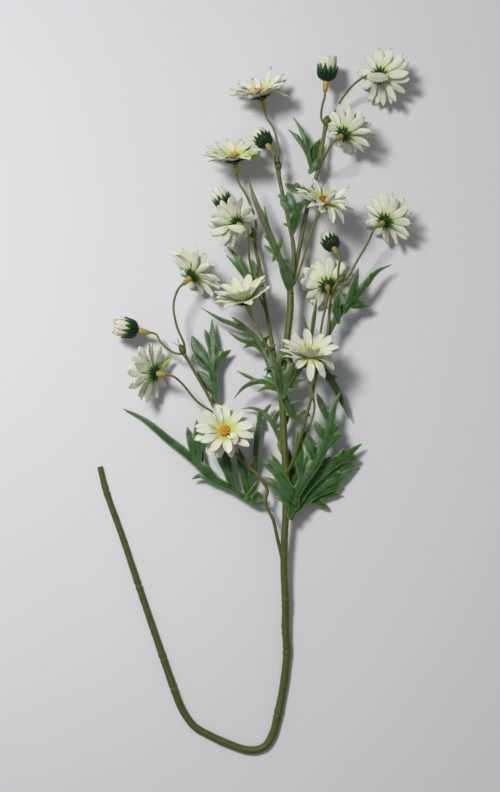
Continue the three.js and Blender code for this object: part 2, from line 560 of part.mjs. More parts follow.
/** Adds one petal between two valleys of its layer, its root on the hub ring inside them. */
function addPetal(points, triangles, inner, innerNext, valley, valleyNext, angle, hubHeight, profile, girth) {
  const [wide, shoulder, tip] = profile;
  const room = wide.radius * Math.tan(Math.PI / PETALS.count) - PETALS.apart;
  const edge = ({ radius, height }, share) => {
    const aside = share * Math.min(PETALS.halfWidth * girth, room);
    return polar(radius, angle, height).add(polar(aside, angle + Math.PI / 2, 0));
  };
  const first = points.length;
  points.push(
    polar(PETALS.hub, angle, hubHeight + PETALS.thickness),
    polar(wide.radius, angle, wide.height + PETALS.thickness),
    edge(wide, -1),
    edge(wide, 1),
    edge(shoulder, -PETALS.shoulder),
    edge(shoulder, PETALS.shoulder),
    polar(tip.radius, angle, tip.height),
  );
  const [root, ridge, wideA, wideB, turnA, turnB, end] = points.slice(first).map((unused, i) => first + i);
  triangles.push([inner, valley, root], [inner, root, innerNext], [innerNext, root, valleyNext]);
  triangles.push([valley, wideA, root], [root, wideA, ridge], [wideA, turnA, ridge], [turnA, end, ridge]);
  triangles.push([end, turnB, ridge], [turnB, wideB, ridge], [ridge, wideB, root], [wideB, valleyNext, root]);
  triangles.push([valley, valleyNext, wideA], [valleyNext, wideB, wideA], [wideA, wideB, turnA]);
  triangles.push([wideB, turnB, turnA], [turnA, turnB, end]);
}

/** Profile of each petal of a layer, with small seeded differences; bent petals have slopes of their own. */
function layerProfiles(layer, layerIndex, { bent = [], cup = 0 }, draw) {
  return Array.from({ length: PETALS.count }, (unused, k) => {
    const rise = layer.rise + cup + UNEVEN.rise * draw();
    const outerRise = rise - PETALS.droop + UNEVEN.droop * draw();
    const special = bent.find(([which, petal]) => which === layerIndex && petal === k);
    return special ? petalProfile(layer, special[2], special[3]) : petalProfile(layer, rise, outerRise);
  });
}

/** The white part of a bloom: two layers of petals on one holed hub, as one closed sheet. */
function bloomPetals(bloom, index) {
  const draw = seededDraws(UNEVEN.seed + UNEVEN.seedStep * index);
  const { count } = PETALS;
  const [lower, upper] = LAYERS;
  const points = [
    ...ring(count, HOLE_RADIUS, lower.height - HUB.below, -0.5),
    ...ring(count, HUB.waist, (lower.height + upper.height + PETALS.thickness / 2) / 2, -0.5),
    ...ring(count, HOLE_RADIUS, upper.height + HUB.above),
    ...ring(count, HUB.valley, lower.height, -0.5),
    ...ring(count, HUB.valley, upper.height),
  ];
  const triangles = [];
  const at = (row, k) => row * count + (k % count);
  LAYERS.forEach((layer, i) => {
    layerProfiles(layer, i, bloom, draw).forEach((profile, k) => {
      const angle = ((k + layer.turn + UNEVEN.turn * draw()) / count) * WHOLE_TURN;
      addPetal(points, triangles, at(i + 1, k), at(i + 1, k + 1), at(i + 3, k), at(i + 3, k + 1), angle,
        layer.height, profile, 1 + UNEVEN.girth * draw());
    });
  });
  for (let k = 0; k < count; k += 1) {
    triangles.push([at(0, k), at(0, k + 1), at(3, k)], [at(0, k + 1), at(3, k + 1), at(3, k)]);
    triangles.push([at(1, k), at(1, k + 1), at(4, k)], [at(1, k + 1), at(4, k + 1), at(4, k)]);
    triangles.push([at(0, k), at(2, k), at(0, k + 1)], [at(2, k), at(2, k + 1), at(0, k + 1)]);
  }
  return closedGeometry(points, triangles).applyMatrix4(flowerFrame(bloom.at, bloom.faces));
}

/** Star of pointed sepals behind the petals, with a stout hub and a hole for the shaft. */
function bloomCalyx(bloom) {
  const { sepals, front, hub, valley, tip } = CALYX;
  const points = [
    ...ring(sepals, HOLE_RADIUS, front),
    ...ring(sepals, HOLE_RADIUS, 0),
    ...ring(sepals, ...hub),
    ...ring(sepals, ...valley),
    ...ring(sepals, ...tip, 0.5),
  ];
  const triangles = [];
  const at = (row, column) => row * sepals + column;
  for (let k = 0; k < sepals; k += 1) {
    const next = (k + 1) % sepals;
    const end = at(4, k);
    triangles.push([at(0, k), at(3, k), end], [at(0, k), end, at(0, next)], [at(0, next), end, at(3, next)]);
    triangles.push([at(3, k), at(2, k), end], [at(2, k), at(2, next), end], [at(2, next), at(3, next), end]);
    triangles.push([at(2, k), at(1, k), at(2, next)], [at(1, k), at(1, next), at(2, next)]);
    triangles.push([at(1, k), at(0, k), at(1, next)], [at(0, k), at(0, next), at(1, next)]);
  }
  return closedGeometry(points, triangles).applyMatrix4(flowerFrame(bloom.at, bloom.faces));
}

/** Yellow insert: bumpy disc in front, shaft through the bloom, and collar round the pedicel's end. */
function bloomCentre(bloom) {
  const { sides, middle, crown, rim, dent, back } = DISC;
  const dents = ring(sides, ...dent);
  const rings = [
    [new THREE.Vector3(0, 0, middle)],
    ring(sides, ...crown, 0.5),
    ring(sides, ...rim).map((spot, k) => (k % 2 ? spot : dents[k])),
    ring(sides, ...back),
    ring(sides, SHAFT_RADIUS, back[1] - 0.1),
    ring(sides, SHAFT_RADIUS, -GAP),
    ring(sides, COLLAR.radius, -GAP - 0.1),
    ring(sides, COLLAR.radius, -COLLAR.length * 0.4),
    ring(sides, COLLAR.endRadius, -COLLAR.length),
  ];
  return skinOver(rings).applyMatrix4(flowerFrame(bloom.at, bloom.faces));
}

/** Cup of pointed sepals round a bud. */
function budCalyx(bud) {
  const { sepals, outside, tip, inside } = BUD_CUP;
  const rows = [...outside, ...inside].map((place) => ring(sepals, ...place));
  rows.push(ring(sepals, ...tip, 0.5));
  const [rim, lip, floor, tips] = [3, 4, 5, 6];
  const triangles = [];
  const at = (row, column) => row * sepals + column;
  [[0, 1], [1, 2], [2, rim], [lip, floor]].forEach(([a, b]) => {
    joinRings(triangles, at(a, 0), sepals, at(b, 0), sepals);
  });
  for (let k = 0; k < sepals; k += 1) {
    const next = (k + 1) % sepals;
    triangles.push([at(rim, k), at(rim, next), at(tips, k)]);
    triangles.push([at(tips, k), at(lip, k), at(rim, k)], [at(tips, k), at(lip, next), at(lip, k)]);
    triangles.push([at(tips, k), at(rim, next), at(lip, next)]);
  }
  capRing(triangles, at(0, 0), sepals, true);
  capRing(triangles, at(floor, 0), sepals, false);
  return closedGeometry(rows.flat(), triangles).applyMatrix4(flowerFrame(bud.at, bud.points));
}

/** Closed white petals that fill a bud's cup and stand out of it as a fluted, twisted crown. */
function budPetals(bud) {
  const { root, fluted, middle, flute, twist } = BUD_PETALS;
  const flutedRings = fluted.map((place, i) => ring(BUD_CUP.sepals, ...place, twist * i).map((spot, k) => {
    return k % 2 ? spot.multiply(new THREE.Vector3(flute, flute, 1)) : spot;
  }));
  const rings = [
    ...root.map((place) => ring(BUD_CUP.sepals, ...place)),
    ...flutedRings,
    [new THREE.Vector3(0, 0, middle)],
  ];
  return skinOver(rings).applyMatrix4(flowerFrame(bud.at, bud.points));
}

/** Share of a leaf blade's full width at a share of its length. */
function bladeWidth(share) {
  const last = LEAF.widths.length - 1;
  const before = Math.min(Math.floor(share * last), last - 1);
  return THREE.MathUtils.lerp(LEAF.widths[before], LEAF.widths[before + 1], share * last - before);
}

/** Blade with a flat underside and a raised rib, which narrows to its tip. */
function leafBlade([halfWidth, ...route]) {
  const points = route.map(seen);
  const curve = new THREE.CatmullRomCurve3(points, false, "centripetal");
  const steps = points.length - 1;
  const rings = points.slice(0, -1).map((spot, i) => {
    const half = halfWidth * SEEN.scale * bladeWidth(i / steps);
    const { across, above } = crossDirections(curve.getTangent(i / steps));
    return [[half, -LEAF.edge], [0, LEAF.rib], [-half, -LEAF.edge]].map(([sideways, up]) => {
      return spot.clone().addScaledVector(across, sideways).addScaledVector(above, up);
    });
  });
  rings.push([points.at(-1)]);
  return skinOver(rings);
}

/** Leaf with its lobes joined along the rib and cut clear of the stems. */
function leaf(blades, stemsWithClearance) {
  return geometryOf(fuse(blades.map(leafBlade)).subtract(stemsWithClearance), JOIN_TOLERANCE.leaf);
}

/** Named mesh with a material of its own. */
function piece(name, geometry, color, roughness) {
  const mesh = new THREE.Mesh(geometry, new THREE.MeshStandardMaterial({ color, roughness, metalness: 0 }));
  mesh.name = name;
  return mesh;
}

/** Group of the three pieces of one bloom. */
function bloomPieces(bloom, index) {
  const name = `bloom_${String(index + 1).padStart(2, "0")}`;
  const group = new THREE.Group();
  group.add(piece(`${name}_petals`, bloomPetals(bloom, index), PETAL_WHITE, 0.8));
  group.add(piece(`${name}_calyx`, bloomCalyx(bloom), GREENS.calyx, 0.45));
  group.add(piece(`${name}_centre`, bloomCentre(bloom), CENTRE_YELLOW, 0.5));
  return group;
}

/** Group of the two pieces of one bud. */
function budPieces(bud, index) {
  const name = `bud_${index + 1}`;
  const group = new THREE.Group();
  group.add(piece(`${name}_calyx`, budCalyx(bud), GREENS.calyx, 0.45));
  group.add(piece(`${name}_petals`, budPetals(bud), PETAL_WHITE, 0.8));
  return group;
}

const spray = new THREE.Group();
spray.add(piece("stem", geometryOf(stemMoulding(), JOIN_TOLERANCE.stem), GREENS.stem, 0.5));
const stemsWithClearance = stemMoulding(GAP);
Object.entries(LEAVES).forEach(([name, blades]) => {
  spray.add(piece(name, leaf(blades, stemsWithClearance), GREENS.leaf, 0.45));
});
BLOOMS.forEach((bloom, index) => spray.add(bloomPieces(bloom, index)));
BUDS.forEach((bud, index) => spray.add(budPieces(bud, index)));
spray.position.set(-SPRAY_MIDDLE.x, -SPRAY_MIDDLE.y, 0);

export default spray;
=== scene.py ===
"""Dresses an artificial oxeye daisy spray: fabric blooms and buds on one moulded, branching plastic stem.

Every piece is built at its place in the frame. Routes are in millimetres, as on the part's own drawing, and
place() brings them to metres: X across, Y along the spray, Z up from the surface that it lies on.
"""

import math

import bpy
import numpy as np
from bpy.props import FloatProperty, FloatVectorProperty, IntProperty, PointerProperty
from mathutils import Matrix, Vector


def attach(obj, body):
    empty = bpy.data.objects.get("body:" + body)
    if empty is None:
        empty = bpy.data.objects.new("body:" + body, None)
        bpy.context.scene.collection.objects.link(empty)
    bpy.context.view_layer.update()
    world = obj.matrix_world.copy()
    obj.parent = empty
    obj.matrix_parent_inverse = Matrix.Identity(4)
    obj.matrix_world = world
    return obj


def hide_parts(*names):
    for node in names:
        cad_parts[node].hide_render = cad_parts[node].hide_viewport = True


bl_info = {
    "name": "Artificial Oxeye Daisy Spray",
    "version": (1, 0, 0),
    "blender": (4, 5, 0),
    "location": "View3D > Sidebar > Daisy",
    "description": "Builds a moulded daisy spray with fabric petals, buds, leaves and stems",
    "category": "Add Mesh",
}

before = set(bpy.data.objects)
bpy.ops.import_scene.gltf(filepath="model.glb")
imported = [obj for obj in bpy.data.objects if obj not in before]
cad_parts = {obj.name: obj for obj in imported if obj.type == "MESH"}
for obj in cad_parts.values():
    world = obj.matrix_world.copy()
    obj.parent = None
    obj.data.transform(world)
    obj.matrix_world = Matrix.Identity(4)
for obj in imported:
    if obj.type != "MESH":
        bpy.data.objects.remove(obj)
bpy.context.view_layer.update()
BODY = "root"

MM = 0.001
UP = np.array([0.0, 0.0, 1.0])
# Leaves are placed as seen from above: millimetres a pixel at the surface, the pixel over the origin and the
# eye's height
SEEN_SCALE = 0.68
SEEN_ORIGIN = (250, 396)
SEEN_EYE = 1250.0
# Middle of the spray's own box, in the routes' coordinates
SPRAY_MIDDLE = np.array([2.96, -4.04, 0.0])
# Soft tips that droop to the surface stay just above it
FLOOR_GAP = 0.02
# First number of each kind of piece's random draws
SEEDS = {
    "stems": 3200, "petals": 4200, "calyx": 5200, "disc": 6200, "bud_calyx": 7200, "bud_petals": 8200,
    "leaf": 9200,
}
# Steps between the points along a route, by what follows it
STEPS = {"stem": 0.9, "spray": 1.0, "pedicel": 0.9, "knob": 0.4, "bit": 0.5, "turned": 0.9, "lobe": 0.3}
# Sides of the round parts' sections
SIDES = {
    "spray": 14, "pedicel": 10, "knob": 16, "stub": 10, "bristle": 6, "collar": 20, "hub": 22, "disc": 24,
    "stamen": 5, "stray": 6, "bud": 24, "heart": 22,
}

# Stems
STEM_RADIUS = 2.5
UPPER_STEM_RADIUS = 2.15
PEDICEL_RADIUS = 0.72
# A lying stem's middle is this share of its radius up, because its solid has eight sides and lies on one
LYING_SHARE = math.cos(math.pi / 8)
LYING = STEM_RADIUS * LYING_SHARE
KNOB = {"radius": 2.35, "length": 7.2}
# Radius of a knob along its length, as (share of the length, share of the radius)
KNOB_PROFILE = [(0, 0.5), (0.15, 0.8), (0.35, 0.97), (0.6, 0.95), (0.8, 0.72), (0.93, 0.4), (1, 0.1)]
# A waist of the moulding: shares of the radius by which it swells on both sides and is pinched between them
WAIST = {"swell": 0.12, "apart": 2.0, "width": 1.5, "pinch": 0.09, "pinch_width": 0.9}
KNUCKLE = {"swell": 0.12, "apart": 1.6, "width": 1.2}
# Swelling of a stalk where it leaves its parent and at its end, as (share of the radius, width)
SPRAY_SWELLS = [(0.15, 3), (0.30, 3)]
PEDICEL_SWELLS = [(0.30, 2.5), (0.12, 3)]
# Ridges round a section, and their depth as a share of its radius
RIDGES = {"stem": (6, 0.022), "spray": (4, 0.03), "pedicel": (3, 0.03)}
GROOVES_ADD = 0.05
MOULD_LINE = {"height": 0.05, "width": 0.16, "marked_width": 0.3}
# Unevenness along a stalk, as (share of its radius, pace)
SLOW_WAVE, FINE_WAVE = (0.018, 3.1), (0.014, 1.3)
# How fresh the green is where a stalk starts, and how much fresher at its end
FRESH = {"stem": (0.06, 0.34), "spray": (0.34, 0.24), "pedicel": (0.62, 0.38)}

# A bloom, measured from the back of its calyx along the way it faces
COLLAR = {"length": 7.0, "radius": 1.95, "end_radius": 1.4, "on_pedicel": 1.8, "straight": 5}
CALYX = {"sepals": 14, "reach": 7.3, "tip_height": 2.0, "half_width": 0.97, "thickness": 0.5, "keel": 0.35}
# A petal runs from its root past the hub, where it widens at most by its spread and comes free of the others
PETALS = {
    "count": 11, "root": 2.1, "hub": 4.4, "inner": 6.9, "outer": 6.9, "tip": 2.0, "half_width": 3.1,
    "overlap": 0.09, "spread": 0.35, "free_after": 5, "marked_over": 20,
}
LAYERS = [
    {"height": 3.2, "rise": 12.0, "turn": 0.0},
    {"height": 4.8, "rise": 25.0, "turn": 0.5},
]
# Half width of a petal: share of it at the hub, where the tip starts, how the tip rounds, and the least share
PETAL_OUTLINE = {"at_hub": 0.52, "tip_from": 0.58, "round": 2.5, "sharp": 1.7, "least": 0.07}
# Where a petal bends at its hub, middle and tip: how far before that place, and over what length
HUB_BEND, MIDDLE_BEND, TIP_BEND = (1.6, 3.6), (2.8, 5.6), (3, 5)
CREASES = {"depth": 0.12, "across": 2.5}
RUFFLES = {"depth": 0.28, "pace": 0.75}
TURNED = {"half_width": 3.255, "pointed": 0.15, "crease": 0.16, "crown": 0.7}
# How much each varies from petal to petal, from sepal to sepal and from stamen to stamen
PETAL_VARIES = {
    "reach": 0.35, "turn": 0.06, "width": 0.06, "rise": 2.5, "outer": 9, "sway": 0.8, "twist": 0.16,
    "gutter": 0.8, "nick": 0.8,
}
# Droop of a petal's tip in degrees, as (mean, spread), and the lower slope of its outer half
TIP_DROOP = (-9, 9)
OUTER_DROP = 8
# Jags of a petal's tip: how deep on a smooth one, how much deeper on a ragged one, and where along it
NICKS = {"smooth": 0.12, "ragged": 0.75, "from": 0.72, "run": 0.28}
SEPAL_VARIES = {"turn": 0.12, "width": 0.08}
STAMEN_VARIES = {"turn": 0.12, "tall": 0.32, "lean": 0.2}
DISC = {"radius": 3.7, "base": 5.6, "top": 8.1, "shaft": 1.05}
# Stamens: how far below the disc's top they stand, in its middle and further at its rim, and how they lean
STAMEN = {
    "sunk": 1.2, "sunk_rim": 0.9, "tall": 1.25, "rim_shorter": 0.25, "least": 0.5, "lean": 0.10,
    "splay": 0.50,
}
# Profiles round the axis, as (radius, height): the calyx's hub, a sepal's middle, and a layer's washer
CALYX_CONE = [
    (1.5, 0.0), (2.3, 0.0), (3.1, 0.4), (3.7, 0.95), (4.1, 1.5), (4.3, 1.9), (4.2, 2.15), (1.5, 2.15),
]
SEPAL_PATH = [(3.2, 1.1), (4.4, 1.8), (5.8, 2.1)]
WASHER = [(1.3, -0.25), (2.6, -0.3), (2.6, 0.3), (1.3, 0.25)]
# Radius of a stamen along its length
STAMEN_PROFILE = [(0, 0.24), (0.6, 0.30), (0.9, 0.26), (1, 0.10)]

# A bud, measured from its base in the same way; its bowl is (height, radius), the others (radius, height)
BUD = {"sepals": 12, "sepal_tip": 10.4, "free_from": 5.2, "wall": 0.8, "petal_start": 3.6, "petal_width": 2.5}
BUD_BOWL = [
    (0, 1.9), (0.6, 3.3), (1.7, 4.85), (3.2, 5.95), (5, 6.5), (7, 6.8), (8.4, 6.9), (10, 6.95), (13, 7.0),
]
BUD_FLOOR = [(1.2, 0.0), (1.9, 0.0), (3.4, 0.75), (4.6, 1.9), (4.2, 2.4), (1.2, 2.2)]
BUD_HEART = [(2.0, 3.0), (4.4, 4.2), (4.6, 8.0), (4.4, 11.0), (3.6, 13.0), (2.0, 14.0)]
# A bud's petal: its foot and its round tip, how far its tip closes in, and how far it curls, waves and varies
BUD_PETAL = {
    "foot": 0.76, "foot_width": 0.55, "tip_from": 0.62, "tip_run": 0.40, "round": 2.2, "closes": (0.02, 0.22),
    "closes_from": 0.78, "closes_run": 0.22, "curl": (0.6, 1.1), "ripple": 0.18, "tuck": 0.55,
}
BUD_PETAL_VARIES = {"turn": 0.14, "width": 0.1, "bulge": 0.05, "lean": 0.16, "top": 0.5, "nick": 0.4}
BUD_RINGS = [
    {"count": 9, "bulge": 6.35, "top": 16.0, "turn": 0.0},
    {"count": 9, "bulge": 5.6, "top": 16.6, "turn": 0.5},
    {"count": 6, "bulge": 4.2, "top": 15.8, "turn": 0.25},
]

# Rows and columns of points over each kind of thin sheet
PETAL_GRID = (19, 11)
TURNED_COLUMNS = 9
SEPAL_GRID = (9, 5)
BUD_SEPAL_GRID = (16, 7)
BUD_PETAL_GRID = (13, 7)

# Stage
FLOOR_HALF = 3.0
KEY_PLACE = (-0.58, 0.62, 1.35)
KEY_AIM = (-0.16, -0.06, 0.0)
KEY_SIZE = 0.32
KEY_SPREAD = math.radians(86)
KEY_COLOUR = (1.0, 0.985, 0.965)
SKY_COLOUR = (0.97, 0.98, 1.0, 1.0)

# Main stem from its cut end round the U and up to the three-way fork
MAIN_STEM = [
    [-102, -48, LYING], [-98, -64, LYING], [-87, -95, LYING], [-76, -128, LYING], [-59, -178, LYING],
    [-52, -198, LYING], [-46, -213, LYING], [-38, -224, LYING], [-28, -230, LYING], [-15, -236, LYING],
    [-3, -240, LYING], [5, -240, LYING], [11, -237, LYING], [16, -228, LYING], [19, -216, LYING],
    [22, -201, 2.6], [24, -186, 3.2], [25, -172, 4], [24, -158, 5.5], [24, -140, 7.5], [23, -120, 9.5],
    [23, -101, 11.5], [24, -78, 14], [24, -53, 16], [23, -33, 17], [22, -10, 18], [21, 8, 18.5],
    [23, 24, 19], [25, 40, 20], [27, 59, 20], [27, 71, 20],
]
# Its radius at some of those points, by number, and the points where its moulding has a waist
STEM_RADII = {
    0: 1.75, 1: 1.85, 3: 2.0, 4: 2.2, 6: 2.35, 9: STEM_RADIUS, 14: 2.65, 16: STEM_RADIUS,
    23: UPPER_STEM_RADIUS,
}
STEM_WAISTS = [1, 3, 4, 5, 14, 17, 18, 19, 23]
# Points between which it leaves the surface, and between which its grooves deepen
STEM_LEAVES = (14, 16)
STEM_GROOVES = (20, 25)

# Sprays that branch off, each ending in a fork with a small closed knob
SPRAYS = [
    {
        "radius": [1.5, 1.25],
        "route": [
            [27, 71, 20], [30, 84, 19], [34, 104, 17], [39, 128, 15], [46, 153, 13], [49, 171, 12],
            [51, 182, 11],
        ],
        "knob": [52, 188, 11],
    },
    {
        "radius": [1.45, 1.2],
        "route": [[27, 71, 20], [29, 85, 21], [29, 100, 20], [25, 121, 19], [20, 144, 18], [19, 151, 18]],
        "knob": [19, 157, 18],
    },
    {
        "radius": [1.4, 1.05],
        "route": [
            [21, 8, 18.5], [17, 23, 18], [15, 34, 17], [10, 63, 14], [6, 89, 11], [4, 98, 10], [3, 107, 9],
        ],
        "knob": [1, 113, 9],
    },
    {
        "radius": [1.1, 0.95],
        "route": [
            [24, -53, 16], [29, -43, 19], [34, -26, 22], [41, -1, 21], [45, 17, 19], [49, 31, 19],
            [52, 42, 20], [55, 70, 21], [59, 76, 21],
        ],
        "knob": [63, 81, 21],
    },
    {
        "radius": [1.15, 0.95],
        "route": [
            [23, -116, 10], [21, -107, 10.5], [18.5, -96, 11.5], [15.6, -83.4, 13], [10.2, -71.9, 14],
            [11.6, -64.1, 14.5], [9, -57.4, 15], [3.6, -51.4, 15.5], [-2.4, -46.7, 15.5], [-13, -34, 15],
            [-26, -4, 15], [-40, 21, 17], [-44, 28, 17],
        ],
        "knob": [-47.5, 36, 17.5],
    },
]
# Short moulded stub on the second spray, and the two bristles on the last spray's knob
STUB = {
    "ends": [[26, 114, 19.4], [22.6, 115.2, 20.2]], "radius": (1.1, 0.75), "step": 0.5, "fresh": 0.8,
    "ridge": 0.3,
}
BRISTLE = {"radius": (0.32, 0.12), "step": 0.6, "fresh": 0.75, "ridge": 0.2}
BRISTLE_ENDS = [[[-47, 33, 17.5], [-51.9, 36.2, 18.6]], [[-47, 33.5, 17.5], [-48.7, 38.6, 18.6]]]

# Blooms: "at" is the back of the calyx, "faces" the way it faces, and "from" the pedicel's route up from its
# branch. Size scales a bloom. Cup closes its petals by so many degrees, and lean lowers those of the upper
# layer that point at the eye. Ragged (0 to 1) frays their tips and narrow thins them. Tint airbrushes all of
# them, lime the [layer, petal] listed, and bent sets [layer, petal, inner slope, outer slope]. Brown and pale
# (0 to 1) colour the disc, and oval squeezes it. Strays are long stamens over it, and a turned petal lies
# back along its own route, both in the bloom's own coordinates.
BLOOMS = [
    {
        "at": [8, 199, 15.8], "faces": [-0.25, 0.92, 0.3],
        "from": [[19, 151, 18], [19, 166, 17], [16, 179, 16]],
        "cup": 10, "lean": 18, "ragged": 1.0, "bent": [[0, 5, 5, -40], [1, 6, 50, 65]],
        "strays": [
            [[1.5, 1, 7.5], [4.5, 1.2, 9.6], [8.5, 0.5, 8.6]], [[1, 2, 7.5], [3, 2.5, 9.4], [6.5, 2, 9]],
        ],
    },
    {
        "at": [-10, 156, 17.5], "faces": [-0.15, 0.93, 0.33],
        "from": [[3, 107, 9], [4, 117, 11], [-2, 134, 14]],
        "cup": 6, "lean": 16, "ragged": 0.9, "tint": 0.22, "lime": [[0, 4], [0, 5], [1, 4]],
        "bent": [[0, 5, 5, -20], [1, 4, 14, 2], [1, 5, 14, 2]],
    },
    {
        "at": [-8, 114, 30], "faces": [-0.5, 0.3, -0.8],
        "from": [[11, 56, 15], [5, 70, 16], [1, 84, 21], [-1, 96, 30]],
        "cup": 6, "size": 0.88, "ragged": 0.3,
        "turned": {"petal": [0, 9], "route": [
            [2.6, -3.4, 3.2], [3.4, -6.6, -1.0], [3.0, -5.6, -7.0], [2.2, -1.0, -10.6], [4.0, 5.0, -9.6],
            [6.4, 10.8, -6.4],
        ]},
    },
    {
        "at": [-40, 79, 21.6], "faces": [0.62, 0.62, -0.48],
        "from": [[-44, 28, 17], [-44, 34, 18], [-49, 47, 22], [-51, 61, 24]],
        "ragged": 0.2,
    },
    {
        "at": [-2, 61, 31], "faces": [-0.3, 0.85, 0.43], "from": [[18, 22, 18], [11, 34, 22], [5, 45, 26]],
        "cup": 14, "lean": -16, "ragged": 0.5, "tint": 0.12, "pale": 0.8,
    },
    {
        "at": [-62, 15, 21.2], "faces": [-0.82, 0.12, -0.55],
        "from": [[-23, -12, 15], [-35, -4, 18], [-46, 9, 23]],
        "lime": [[0, 7], [1, 6]],
    },
    {
        "at": [-18, -26, 26], "faces": [0.15, 0.5, 0.85], "from": [[-13, -34, 15]],
        "cup": -4, "oval": 0.2, "bent": [[0, 2, 0, -50], [0, 3, -5, -65], [0, 4, -5, -60]],
        "turned": {"petal": [1, 4], "route": [
            [-2.5, 3.4, 4.8], [-5.6, 5.4, 5.6], [-7.8, 6.0, 7.4], [-7.0, 4.4, 9.6], [-4.8, 2.2, 9.6],
        ]},
    },
    {
        "at": [39, 24, 33], "faces": [0.05, 0.8, 0.6],
        "from": [[24, -53, 16], [31, -40, 15], [38, -26, 15], [43, -9, 21], [42, 0, 26]],
        "lean": -42, "ragged": 0.5, "narrow": 0.85, "pale": 0.5,
        "bent": [[0, 3, -5, -55], [0, 4, -10, -50], [0, 5, 5, -50]],
    },
    {
        "at": [47, 125, 34], "faces": [0.3, 0.8, 0.5],
        "from": [[27, 71, 20], [31, 78, 23], [36, 93, 28], [41, 110, 31]],
        "ragged": 1.0, "narrow": 0.82, "brown": 1.0,
        "bent": [[0, 4, 5, -40], [0, 5, 5, -35], [1, 3, 45, 60], [1, 6, 45, 50]],
    },
    {
        "at": [61, 173, 28], "faces": [0.55, 0.5, -0.67], "from": [[46, 153, 13], [49, 158, 22]],
        "cup": 14, "size": 0.95, "ragged": 0.5,
    },
    {
        "at": [85, 214, 20.9], "faces": [0.62, 0.12, -0.77],
        "from": [[51, 182, 11], [55, 187, 11], [62, 200, 13], [69, 208, 20]],
        "cup": 8, "ragged": 0.4, "narrow": 0.9,
        "turned": {"petal": [0, 4], "route": [
            [-1.9, 3.6, 3.4], [-2.4, 6.5, 1.0], [-2.4, 6.0, -2.0], [-2.2, 4.6, -6.0], [-1.8, 3.2, -10.0],
            [-1.2, 1.4, -14.0],
        ]},
    },
    {
        "at": [89, 116, 20.9], "faces": [0.55, 0.45, -0.7],
        "from": [[59, 76, 21], [64, 78, 21], [72, 91, 22], [79, 103, 24]],
        "cup": 5, "size": 0.94, "ragged": 0.7,
    },
    {
        "at": [52, 73, 20], "faces": [0, 0.3, -0.95],
        "from": [[44, 14, 19], [46, 30, 17], [48, 48, 22], [51, 62, 27]],
        "cup": 15,
    },
]
BUDS = [
    {"at": [51, 211, 18], "faces": [0.1, 0.99, 0], "from": [[51, 182, 11], [48, 187, 12], [49, 197, 15]]},
    {
        "at": [11.5, 168, 21], "faces": [-0.4, 0.65, -0.62], "size": 0.87,
        "from": [[19, 151, 18], [17, 155, 20]],
    },
    {
        "at": [-16, 127, 10], "faces": [-0.45, 0.88, -0.15], "size": 0.87,
        "from": [[3, 107, 9], [-3, 110, 9], [-9, 118, 9]],
    },
    {"at": [56, 99, 21], "faces": [-0.3, 0.65, -0.7], "size": 0.87, "from": [[59, 76, 21], [59, 84, 23]]},
    {"at": [-75, 44, 14], "faces": [-0.95, 0.2, 0.1], "from": [[-44, 28, 17], [-51, 29, 16], [-60, 36, 14]]},
]

